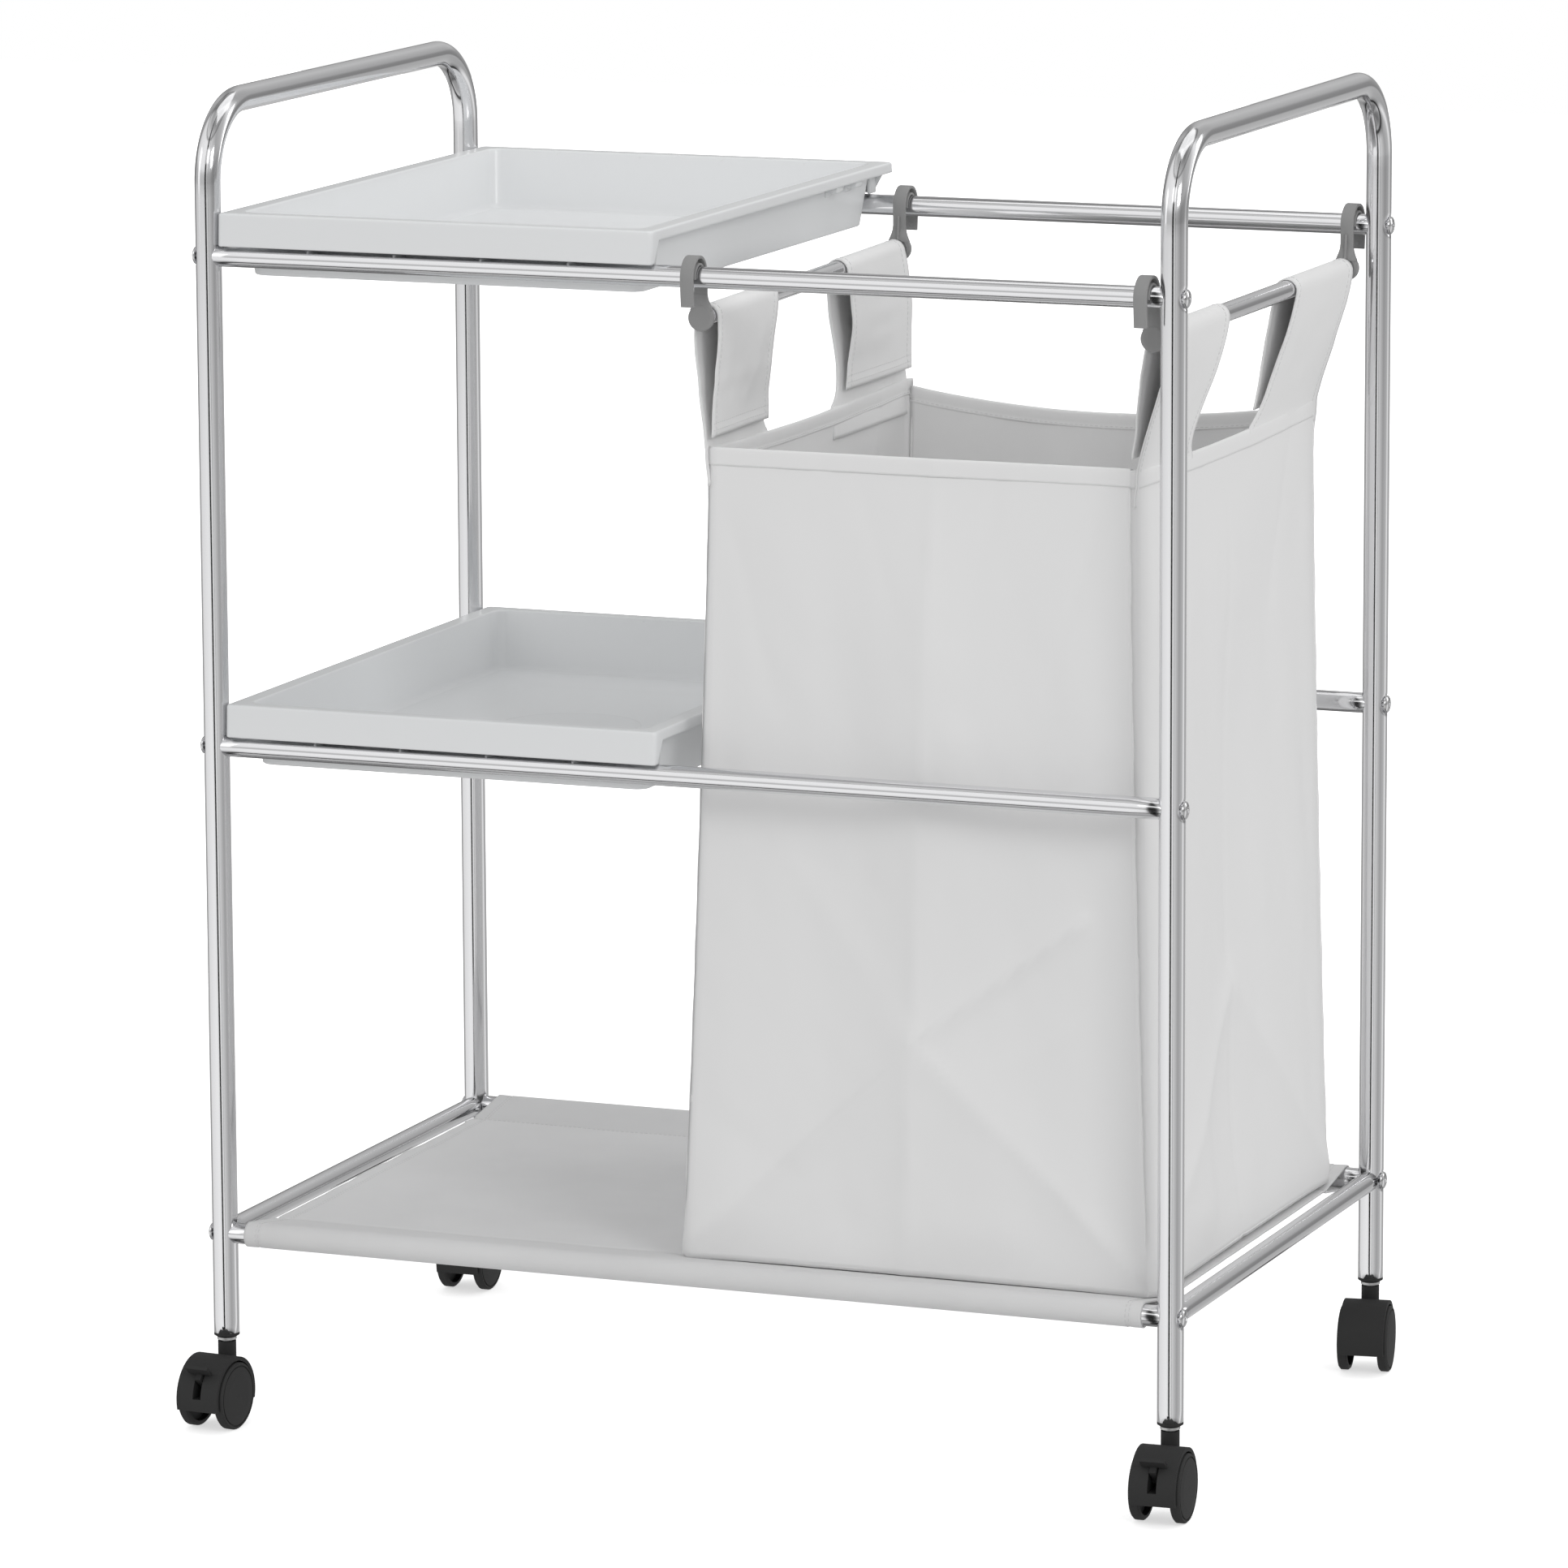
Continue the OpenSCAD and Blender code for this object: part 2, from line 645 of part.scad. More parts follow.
// Brake lever, drawn up: a pivoted arm through the hood's slot, with a wide pedal
module brake_lever(side, end) {
    color("black") at_caster(side, end) translate([0, -caster_trail, 0])
        translate([0, -lever_pivot[0], lever_pivot[1]]) {
            translate([-lever_pin_half_l, 0, 0]) along_x()
                cylinder(r = lever_pin_r, h = 2 * lever_pin_half_l);
            translate([-lever_half_w, 0, 0]) along_x() cylinder(r = lever_boss_r, h = 2 * lever_half_w);
            rotate([-lever_arm_rise, 0, 0]) {
                translate([-lever_arm_half_w, -lever_arm_l, -lever_arm_t / 2])
                    cube([2 * lever_arm_half_w, lever_arm_l, lever_arm_t]);
                translate([-pedal_half_w, -lever_arm_l - pedal_l + pedal_lap, lever_arm_t / 2 - pedal_t + 1])
                    cube([2 * pedal_half_w, pedal_l, pedal_t]);
            }
        }
}

side_frame(LEFT);  // left_side_frame
side_frame(RIGHT);  // right_side_frame
side_rail(LEFT);  // left_bottom_side_rail
side_rail(RIGHT);  // right_bottom_side_rail
cross_rail(FRONT, top_rail_z);  // top_front_rail
cross_rail(REAR, top_rail_z);  // top_rear_rail
cross_rail(FRONT, middle_rail_z);  // middle_front_rail
cross_rail(REAR, middle_rail_z);  // middle_rear_rail
cross_rail(FRONT, bottom_rail_z);  // bottom_front_rail
cross_rail(REAR, bottom_rail_z);  // bottom_rear_rail
rail_end_inserts();
frame_screws();
post_end_plugs();
shelf_fabric();
placed_tray(top_rail_z);  // upper_tray
placed_tray(middle_rail_z);  // lower_tray
hanger_rod(LEFT);  // left_hanger_rod
hanger_rod(RIGHT);  // right_hanger_rod
hook(LEFT, FRONT);  // left_front_hook
hook(LEFT, REAR);  // left_rear_hook
hook(RIGHT, FRONT);  // right_front_hook
hook(RIGHT, REAR);  // right_rear_hook
bag_body();
strap(LEFT, FRONT);  // left_front_strap
strap(LEFT, REAR);  // left_rear_strap
strap(RIGHT, FRONT);  // right_front_strap
strap(RIGHT, REAR);  // right_rear_strap
caster_stem(LEFT, FRONT);  // front_left_caster_stem
caster_hood(LEFT, FRONT);  // front_left_caster_hood
caster_axle(LEFT, FRONT);  // front_left_caster_axle
caster_wheel(LEFT, FRONT, LEFT);  // front_left_caster_left_wheel
caster_wheel(LEFT, FRONT, RIGHT);  // front_left_caster_right_wheel
brake_lever(LEFT, FRONT);  // front_left_brake_lever
caster_stem(RIGHT, FRONT);  // front_right_caster_stem
caster_hood(RIGHT, FRONT);  // front_right_caster_hood
caster_axle(RIGHT, FRONT);  // front_right_caster_axle
caster_wheel(RIGHT, FRONT, LEFT);  // front_right_caster_left_wheel
caster_wheel(RIGHT, FRONT, RIGHT);  // front_right_caster_right_wheel
brake_lever(RIGHT, FRONT);  // front_right_brake_lever
caster_stem(LEFT, REAR);  // rear_left_caster_stem
caster_hood(LEFT, REAR);  // rear_left_caster_hood
caster_axle(LEFT, REAR);  // rear_left_caster_axle
caster_wheel(LEFT, REAR, LEFT);  // rear_left_caster_left_wheel
caster_wheel(LEFT, REAR, RIGHT);  // rear_left_caster_right_wheel
caster_stem(RIGHT, REAR);  // rear_right_caster_stem
caster_hood(RIGHT, REAR);  // rear_right_caster_hood
caster_axle(RIGHT, REAR);  // rear_right_caster_axle
caster_wheel(RIGHT, REAR, LEFT);  // rear_right_caster_left_wheel
caster_wheel(RIGHT, REAR, RIGHT);  // rear_right_caster_right_wheel
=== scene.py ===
import json
import math

import bpy
import numpy as np
from mathutils import Matrix, Vector


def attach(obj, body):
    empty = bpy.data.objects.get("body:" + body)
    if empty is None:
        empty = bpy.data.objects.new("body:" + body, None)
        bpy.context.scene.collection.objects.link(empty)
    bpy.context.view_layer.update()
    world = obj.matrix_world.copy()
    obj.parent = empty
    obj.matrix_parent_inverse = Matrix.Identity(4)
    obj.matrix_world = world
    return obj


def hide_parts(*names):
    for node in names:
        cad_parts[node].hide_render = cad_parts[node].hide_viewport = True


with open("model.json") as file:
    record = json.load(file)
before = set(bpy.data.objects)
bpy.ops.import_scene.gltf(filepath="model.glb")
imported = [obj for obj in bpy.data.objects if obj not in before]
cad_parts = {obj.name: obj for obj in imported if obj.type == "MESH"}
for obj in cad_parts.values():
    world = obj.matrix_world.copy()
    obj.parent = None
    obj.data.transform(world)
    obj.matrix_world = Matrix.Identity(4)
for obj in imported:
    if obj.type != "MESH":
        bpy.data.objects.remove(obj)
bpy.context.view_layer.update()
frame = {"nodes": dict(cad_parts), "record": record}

bl_info = {
    "name": "Laundry sorter on wheels",
    "version": (1, 0, 0),
    "blender": (4, 5, 0),
    "location": "3D View > Sidebar > Laundry Sorter",
    "description": "Builds the looks of a rolling laundry sorter over its measured frame",
    "category": "Object",
}

MM = 0.001

# Sizes that follow the measured frame, in millimetres
POST_X, POST_Y = 370.5, 231.0
POST_R, POST_WALL = 9.5, 1.0
POST_BOTTOM, HANDLE_Z, BEND_R = 68.5, 980.5, 57.0
RAIL_R, RAIL_WALL = 7.75, 0.9
RAIL_LEVELS = {"bottom": 144.1, "middle": 510.5, "top": 871.5}
ROD_R, ROD_Z = 7.0, 840.5
LEFT_ROD_X, RIGHT_ROD_X = 2.0, 350.5
LEFT_ROD_TURN = math.atan2(16.0, 462.0)
TRAY = dict(x0=-359.5, x1=-19.0, y=240.0, rim=14.0, floor_x=18.5, floor_y=24.0, drop=23.0, rise=24.0,
            wall=2.2)
TRAY_SEAT = RAIL_R + 0.35
HOOK_R, HOOK_BAND, HOOK_W = 15.5, 2.4, 10.0
HOOK_FACE, DISC_DEPTH = 13.1, 4.6
SHELF_SLEEVE = 50.0

# From one stitch to the next, in stitch lengths
STITCH_GAP = 1.25

# Shares of a strap's length at which it comes to its rod and leaves it
ROD_MET, ROD_LEFT = 0.46, 0.58


# ---------------------------------------------------------------- numbers on grids

def smooth(a, b, x):
    """Cubic step: 0 below a, 1 above b, and 3t^2 - 2t^3 between."""
    t = np.clip((np.asarray(x, float) - a) / (b - a), 0, 1)
    return t * t * (3 - 2 * t)


def lattice_noise(u, v, seed):
    """Smooth noise between -1 and 1: random values on a unit lattice, blended with cubic steps."""
    rng = np.random.default_rng(seed)
    table = rng.uniform(-1, 1, (64, 64))
    iu, iv = np.floor(u).astype(int), np.floor(v).astype(int)
    fu, fv = u - iu, v - iv
    fu, fv = fu * fu * (3 - 2 * fu), fv * fv * (3 - 2 * fv)
    pick = lambda a, b: table[a % 64, b % 64]
    low = pick(iu, iv) * (1 - fu) + pick(iu + 1, iv) * fu
    high = pick(iu, iv + 1) * (1 - fu) + pick(iu + 1, iv + 1) * fu
    return low * (1 - fv) + high * fv


def segment_fold(u, v, start, end, width, fade=0.18):
    """Sharp fold along a straight line: exp(-distance / width), faded out at both of its ends."""
    (u0, v0), (u1, v1) = start, end
    du, dv = u1 - u0, v1 - v0
    length = math.hypot(du, dv)
    t = ((u - u0) * du + (v - v0) * dv) / length ** 2
    across = np.abs((u - u0) * dv - (v - v0) * du) / length
    return np.exp(-across / width) * smooth(-fade, fade, t) * (1 - smooth(1 - fade, 1 + fade, t))


def dense_line(low, high, step, marks=(), spread=6.0, fine=1.2):
    """Sorted positions from low to high, a step apart, and finer within a spread of each mark."""
    points = list(np.linspace(low, high, max(2, int(round((high - low) / step)) + 1)))
    for m in marks:
        points += list(np.arange(max(low, m - spread), min(high, m + spread) + 1e-6, fine))
    points = np.unique(np.round(points, 3))
    keep = [points[0]]
    for p in points[1:-1]:
        if p - keep[-1] > 0.45 * fine and points[-1] - p > 0.45 * fine:
            keep.append(p)
    return np.array(keep + [points[-1]])


def grid_normals(P, wrap):
    """Unit normals of a grid: cross product of its differences along columns and rows."""
    if wrap:
        du = np.roll(P, -1, 1) - np.roll(P, 1, 1)
    else:
        du = np.gradient(P, axis=1)
    dv = np.gradient(P, axis=0)
    n = np.cross(du, dv)
    size = np.linalg.norm(n, axis=2, keepdims=True)
    return n / np.maximum(size, 1e-9)


def grid_faces(rows, cols, wrap, start=0, flip=False):
    """Quads of a rows by cols grid, as indices from start."""
    i, j = np.meshgrid(np.arange(rows - 1), np.arange(cols if wrap else cols - 1), indexing="ij")
    k = (j + 1) % cols
    quads = np.stack([i * cols + j, i * cols + k, (i + 1) * cols + k, (i + 1) * cols + j], -1)
    quads = quads.reshape(-1, 4) + start
    return quads[:, ::-1] if flip else quads


def grid_uv(P, wrap):
    """Distances in metres along columns and along rows, for the weave."""
    du = np.linalg.norm(np.diff(P, axis=1, append=P[:, :1] if wrap else P[:, -1:]), axis=2)
    dv = np.linalg.norm(np.diff(P, axis=0, append=P[-1:]), axis=2)
    middle = len(P) // 2
    u = np.concatenate([[0], np.cumsum(du[middle])[:-1]])
    v = np.concatenate([[0], np.cumsum(dv.mean(1))[:-1]])
    return np.stack(np.broadcast_arrays(u[None, :], v[:, None]), -1) * MM


class Builder:
    """Collects grids in millimetres and makes one mesh of them."""

    def __init__(self):
        self.points, self.faces, self.uvs, self.count = [], [], [], 0

    def add(self, P, faces, uv):
        self.points.append(P.reshape(-1, 3))
        self.faces.append(faces)
        self.uvs.append(uv.reshape(-1, 2))
        self.count += P.size // 3

    def grid(self, P, wrap=False, flip=False):
        """A surface given as rows by columns of points."""
        P = np.asarray(P, float)
        self.add(P, grid_faces(P.shape[0], P.shape[1], wrap, self.count, flip), grid_uv(P, wrap))

    def sew(self, line, facing, length, thick):
        """A line of stitches, each one of the given length."""
        for grain in stitches(line, facing, length * STITCH_GAP, length, thick):
            self.grid(grain, wrap=True)

    def cloth(self, P, thickness, wrap=False, flip=False):
        """Two plies either side of a grid, half the thickness out along its normals, joined at the rims."""
        P = np.asarray(P, float)
        n = grid_normals(P, wrap) * (thickness / 2) * (-1 if flip else 1)
        rows, cols = P.shape[:2]
        start = self.count
        uv = grid_uv(P, wrap)
        self.add(P + n, grid_faces(rows, cols, wrap, start, flip), uv)
        self.add(P - n, grid_faces(rows, cols, wrap, start + rows * cols, not flip), uv)
        ring = []
        last = cols if wrap else cols - 1
        for row in (0, rows - 1):
            j = np.arange(last)
            a, b = start + row * cols + j, start + row * cols + (j + 1) % cols
            quads = np.stack([b, a, a + rows * cols, b + rows * cols], -1)
            ring.append(quads if (row == 0) != flip else quads[:, ::-1])
        if not wrap:
            for col in (0, cols - 1):
                i = np.arange(rows - 1)
                a, b = start + i * cols + col, start + (i + 1) * cols + col
                quads = np.stack([a, b, b + rows * cols, a + rows * cols], -1)
                ring.append(quads if (col == 0) != flip else quads[:, ::-1])
        self.faces.append(np.concatenate(ring))

    def mesh(self, name, material, ride, slot, replaces=()):
        """Makes the object, in metres, hangs it on its body's empty and hides the parts it replaces."""
        points = np.concatenate(self.points) * MM
        faces = np.concatenate(self.faces)
        uv = np.concatenate(self.uvs)
        mesh = bpy.data.meshes.new(name)
        mesh.vertices.add(len(points))
        mesh.vertices.foreach_set("co", points.ravel())
        mesh.loops.add(faces.size)
        mesh.loops.foreach_set("vertex_index", faces.ravel())
        mesh.polygons.add(len(faces))
        mesh.polygons.foreach_set("loop_start", np.arange(0, faces.size, 4))
        mesh.polygons.foreach_set("loop_total", np.full(len(faces), 4))
        layer = mesh.uv_layers.new(name="UVMap")
        layer.data.foreach_set("uv", uv[faces.ravel()].ravel())
        mesh.update(calc_edges=True)
        mesh.validate()
        mesh.polygons.foreach_set("use_smooth", np.ones(len(mesh.polygons), bool))
        mesh.materials.append(material)
        obj = bpy.data.objects.new(name, mesh)
        bpy.context.scene.collection.objects.link(obj)
        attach(obj, ride)
        if replaces:
            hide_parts(*replaces)
        return obj


def ring_xy(around):
    """Cosines and sines of evenly spaced angles."""
    a = np.linspace(0, 2 * np.pi, around, endpoint=False)
    return np.cos(a), np.sin(a)


def lathe(profile, around, origin, axis):
    """Turned surface: each (radius, height) of the profile makes a ring about the axis."""
    axis = np.array(axis, float) / np.linalg.norm(axis)
    side = np.cross(axis, [0, 0, 1.0] if abs(axis[2]) < 0.9 else [1.0, 0, 0])
    side /= np.linalg.norm(side)
    other = np.cross(axis, side)
    c, s = ring_xy(around)
    profile = np.asarray(profile, float)
    rim = c[:, None] * side + s[:, None] * other
    return np.array(origin, float) + profile[:, 0, None, None] * rim + profile[:, 1, None, None] * axis


def strip(path, across, width, thickness, corner=0.6, steps=3):
    """A bar with rounded edges along a path: width runs along across, thickness along the path's normal."""
    path, across = np.asarray(path, float), np.asarray(across, float)
    along = np.gradient(path, axis=0)
    along /= np.linalg.norm(along, axis=1, keepdims=True)
    normal = np.cross(along, across)
    width = np.broadcast_to(width, len(path))
    thickness = np.broadcast_to(thickness, len(path))
    ring = []
    for cx, cy, a0 in ((1, 1, 0), (-1, 1, 90), (-1, -1, 180), (1, -1, 270)):
        for a in np.radians(a0 + np.linspace(0, 90, steps)):
            ring.append((cx, cy, math.cos(a), math.sin(a)))
    ring = np.array(ring)
    r = np.minimum(corner, 0.49 * np.minimum(width, thickness))[:, None]
    u = ring[:, 0] * (width[:, None] / 2 - r) + ring[:, 2] * r
    v = ring[:, 1] * (thickness[:, None] / 2 - r) + ring[:, 3] * r
    P = path[:, None] + u[..., None] * across + v[..., None] * normal[:, None]
    cap0 = np.broadcast_to(path[0], P[0].shape)
    cap1 = np.broadcast_to(path[-1], P[0].shape)
    inset0 = P[0] * 0.9 + cap0 * 0.1
    inset1 = P[-1] * 0.9 + cap1 * 0.1
    return np.concatenate([cap0[None], inset0[None], P[:1], P, P[-1:], inset1[None], cap1[None]])


def stitches(points, normals, pitch, length, thick):
    """Thread along a path: one six-sided grain per stitch, a ring each at 0.2, 0.5 and 0.8 of its length."""
    points = np.asarray(points, float)
    normals = np.asarray(normals, float)
    run = np.concatenate([[0], np.cumsum(np.linalg.norm(np.diff(points, axis=0), axis=1))])
    count = max(2, int(run[-1] / pitch))
    at = (np.arange(count) + 0.5) * run[-1] / count
    take = lambda values, where: np.stack([np.interp(where, run, values[:, k]) for k in range(3)], -1)
    centre, normal = take(points, at), take(normals, at)
    ahead = take(points, np.minimum(at + 1, run[-1])) - take(points, np.maximum(at - 1, 0))
    ahead /= np.maximum(np.linalg.norm(ahead, axis=1, keepdims=True), 1e-9)
    normal /= np.maximum(np.linalg.norm(normal, axis=1, keepdims=True), 1e-9)
    side = np.cross(normal, ahead)
    ring = [centre - ahead * length / 2]
    for where, size in ((-0.3, 0.85), (0.0, 1.0), (0.3, 0.85)):
        ring.append((centre + ahead * length * where, size))
    ring.append(centre + ahead * length / 2)
    rows = []
    c, s = ring_xy(6)
    round_about = c[:, None, None] * side + s[:, None, None] * normal
    for item in ring:
        if isinstance(item, tuple):
            base, size = item
            rows.append(base + round_about * thick * size / 2)
        else:
            rows.append(np.broadcast_to(item, (6,) + item.shape))
    P = np.stack(rows)
    return [P[:, :, k] for k in range(count)]


# ---------------------------------------------------------------- materials

class Shader:
    """A small help for laying out a node material."""

    def __init__(self, name):
        self.material = bpy.data.materials.new(name)
        self.material.use_nodes = True
        self.tree = self.material.node_tree
        self.bsdf = self.tree.nodes["Principled BSDF"]

    def node(self, kind, values=None, **settings):
        made = self.tree.nodes.new(kind)
        for key, value in settings.items():
            setattr(made, key, value)
        for key, value in (values or {}).items():
            if isinstance(value, bpy.types.NodeSocket):
                self.tree.links.new(value, made.inputs[key])
            else:
                made.inputs[key].default_value = value
        return made

    def set(self, **values):
        for key, value in values.items():
            socket = self.bsdf.inputs[key.replace("_", " ")]
            if isinstance(value, bpy.types.NodeSocket):
                self.tree.links.new(value, socket)
            else:
                socket.default_value = value

    def math(self, operation, a, b=0.0):
        made = self.tree.nodes.new("ShaderNodeMath")
        made.operation = operation
        for socket, value in zip(made.inputs, (a, b)):
            if isinstance(value, bpy.types.NodeSocket):
                self.tree.links.new(value, socket)
            else:
                socket.default_value = value
        return made.outputs[0]

    def noise(self, vector, scale, detail=3.0, roughness=0.55):
        return self.node("ShaderNodeTexNoise", {"Vector": vector, "Scale": scale, "Detail": detail,
                                                "Roughness": roughness}).outputs["Fac"]

    def ramp(self, factor, low, high, a=0.3, b=0.7):
        made = self.node("ShaderNodeValToRGB", {"Fac": factor})
        made.color_ramp.elements[0].position, made.color_ramp.elements[1].position = a, b
        made.color_ramp.elements[0].color = (*low, 1)
        made.color_ramp.elements[1].color = (*high, 1)
        return made.outputs["Color"]

    def bump(self, height, strength, distance, normal=None):
        values = {"Height": height, "Strength": strength, "Distance": distance}
        if normal is not None:
            values["Normal"] = normal
        return self.node("ShaderNodeBump", values).outputs["Normal"]

    def blend(self, other, share):
        """Puts a share of another surface beside the main one."""
        mix = self.node("ShaderNodeMixShader", {0: share, 1: self.bsdf.outputs["BSDF"], 2: other})
        self.tree.links.new(mix.outputs[0], self.tree.nodes["Material Output"].inputs["Surface"])


def shade(colour, factor):
    """The colour times a factor, as three numbers."""
    return tuple(min(1.0, c * factor) for c in colour[:3])


def chrome(name, colour, roughness):
    """Bright plating with faint wipe marks and a very slight unevenness in the tube."""
    s = Shader(name)
    place = s.node("ShaderNodeTexCoord").outputs["Object"]
    film = s.noise(place, 55.0, 4.0)
    fine = s.noise(place, 420.0, 2.0)
    rough = s.node("ShaderNodeMapRange", {"Value": film, "From Min": 0.3, "From Max": 0.75,
                                          "To Min": roughness * 0.7, "To Max": roughness * 1.7})
    s.set(Base_Color=s.ramp(film, shade(colour, 0.95), shade(colour, 1.03)), Metallic=1.0,
          Roughness=rough.outputs["Result"])
    slow = s.noise(place, 9.0, 1.0)
    s.set(Normal=s.bump(fine, 0.02, 0.0002, s.bump(slow, 0.12, 0.0006)))
    return s.material


def moulded(name, colour, roughness, grain, bump, bevel=0.0, coat=0.0, scatter=0.0, shine=0.5):
    """Moulded plastic: fine texture, uneven gloss and, where a bevel is given, edges rounded in the shading
    so they catch a little light.
    """
    s = Shader(name)
    place = s.node("ShaderNodeTexCoord").outputs["Object"]
    fine = s.noise(place, grain, 2.0)
    slow = s.noise(place, 26.0, 3.0)
    rough = s.node("ShaderNodeMapRange", {"Value": slow, "From Min": 0.3, "From Max": 0.7,
                                          "To Min": roughness * 0.85, "To Max": roughness * 1.2})
    s.set(Base_Color=s.ramp(slow, shade(colour, 0.96), shade(colour, 1.04)),
          Roughness=rough.outputs["Result"], Coat_Weight=coat, Coat_Roughness=0.15,
          Subsurface_Weight=scatter, Subsurface_Scale=0.004, Specular_IOR_Level=shine)
    normal = None
    if bevel:
        normal = s.node("ShaderNodeBevel", {"Radius": bevel}, samples=4).outputs["Normal"]
    s.set(Normal=s.bump(fine, bump, 0.0002, normal))
    return s.material


def steel(name, colour):
    """Zinc-plated steel, a little streaked."""
    s = Shader(name)
    place = s.node("ShaderNodeTexCoord").outputs["Object"]
    drawn = s.node("ShaderNodeMapping", {"Vector": place, "Scale": (900, 900, 40)}).outputs["Vector"]
    streak = s.noise(drawn, 1.0)
    s.set(Base_Color=s.ramp(streak, shade(colour, 0.85), shade(colour, 1.1)), Metallic=1.0, Roughness=0.28,
          Normal=s.bump(streak, 0.1, 0.0001))
    return s.material


def woven(name, colour, pitch, strength, sheen, through=0.0):
    """Plain weave: crossed threads from the piece's own lengths, with uneven yarn and faint clouding."""
    s = Shader(name)
    uv = s.node("ShaderNodeUVMap", uv_map="UVMap").outputs["UV"]
    place = s.node("ShaderNodeTexCoord").outputs["Object"]
    split = s.node("ShaderNodeSeparateXYZ", {"Vector": uv})
    turn = 2 * math.pi / pitch
    wobble = s.math("MULTIPLY", s.math("SUBTRACT", s.noise(place, 160.0, 2.0), 0.5), 1.6)
    along = s.math("SINE", s.math("ADD", s.math("MULTIPLY", split.outputs["X"], turn), wobble))
    across = s.math("SINE", s.math("ADD", s.math("MULTIPLY", split.outputs["Y"], turn), wobble))
    weave = s.math("MULTIPLY", along, across)
    yarn = s.noise(place, 900.0, 2.0)
    height = s.math("ADD", s.math("MULTIPLY", weave, 0.5), s.math("MULTIPLY", yarn, 0.7))
    cloud = s.noise(place, 7.0, 4.0, 0.6)
    tint = s.math("ADD", s.math("MULTIPLY", weave, 0.05), cloud)
    s.set(Base_Color=s.ramp(tint, shade(colour, 0.955), shade(colour, 1.03), 0.25, 0.8), Roughness=0.92,
          Sheen_Weight=sheen, Sheen_Roughness=0.5, Specular_IOR_Level=0.25)
    crumple = s.noise(place, 48.0, 3.0)
    s.set(Normal=s.bump(height, strength, pitch * 0.35, s.bump(crumple, 0.10, 0.0012)))
    if through:
        glow = s.node("ShaderNodeBsdfTranslucent", {"Color": (*colour[:3], 1)}).outputs["BSDF"]
        s.blend(glow, through)
    return s.material


def plain_stage(name, value):
    """Matte pale floor that brightens away from the object, as a swept paper background does in a studio."""
    s = Shader(name)
    place = s.node("ShaderNodeTexCoord").outputs["Object"]
    away = s.node("ShaderNodeVectorMath", {"Vector": place}, operation="LENGTH").outputs["Value"]
    glow = s.node("ShaderNodeMapRange", {"Value": away, "From Min": 0.5, "From Max": 2.2, "To Min": 0.58,
                                         "To Max": 1.0}, interpolation_type="SMOOTHSTEP").outputs["Result"]
    s.set(Base_Color=s.ramp(s.noise(place, 3.0), (value * 0.995,) * 3, (value,) * 3), Roughness=0.9,
          Specular_IOR_Level=0.0, Emission_Color=(1, 1, 1, 1), Emission_Strength=glow)
    return s.material


def material(name):
    """The named material, made the first time from the sizes and colours in the panel."""
    found = bpy.data.materials.get(name)
    if found:
        return found
    p = bpy.context.scene.laundry_sorter
    makers = {
        "chrome_tube": lambda: chrome(name, p.chrome_colour, p.chrome_roughness),
        "screw_steel": lambda: chrome(name, shade(p.chrome_colour, 0.9), p.chrome_roughness * 1.8),
        "plated_steel": lambda: steel(name, (0.55, 0.55, 0.55)),
        "white_cloth": lambda: woven(name, p.cloth_colour, p.weave_pitch, 0.35, 0.12, 0.22),
        "shelf_cloth": lambda: woven(name, shade(p.cloth_colour, 0.98), p.weave_pitch, 0.30, 0.10, 0.15),
        "thread": lambda: woven(name, shade(p.cloth_colour, 0.80), 0.0004, 0.3, 0.3),
        "white_plastic": lambda: moulded(name, p.tray_colour, 0.34, 1500.0, 0.05, coat=0.12, scatter=0.06),
        "grey_plastic": lambda: moulded(name, p.hook_colour, 0.42, 1800.0, 0.10, bevel=0.0005),
        "caster_black": lambda: moulded(name, p.caster_colour, 0.40, 1600.0, 0.12, bevel=0.0006, shine=0.22),
        "wheel_black": lambda: moulded(name, shade(p.caster_colour, 1.3), 0.46, 1400.0, 0.15, bevel=0.0006,
                                       shine=0.2),
    }
    return makers[name]()


# ---------------------------------------------------------------- the frame's tubes

def side_frame_path():
    """Centre line of one side frame: up, round a quarter, along the handle, round and down."""
    straight = dense_line(POST_BOTTOM, HANDLE_Z - BEND_R, 9.0, RAIL_LEVELS.values(), 10.0, 1.4)
    arc = np.radians(np.linspace(0, 90, 25))[1:]
    up = np.stack([np.full(len(straight), -POST_Y), straight], -1)
    bend = np.stack([-POST_Y + BEND_R - BEND_R * np.cos(arc), HANDLE_Z - BEND_R + BEND_R * np.sin(arc)], -1)
    reach = POST_Y - BEND_R
    handle = np.stack([np.linspace(-reach, 0, 18)[1:], np.full(17, HANDLE_Z)], -1)
    half = np.concatenate([up, bend, handle])
    other = half[-2::-1] * [-1, 1]
    return np.concatenate([half, other])


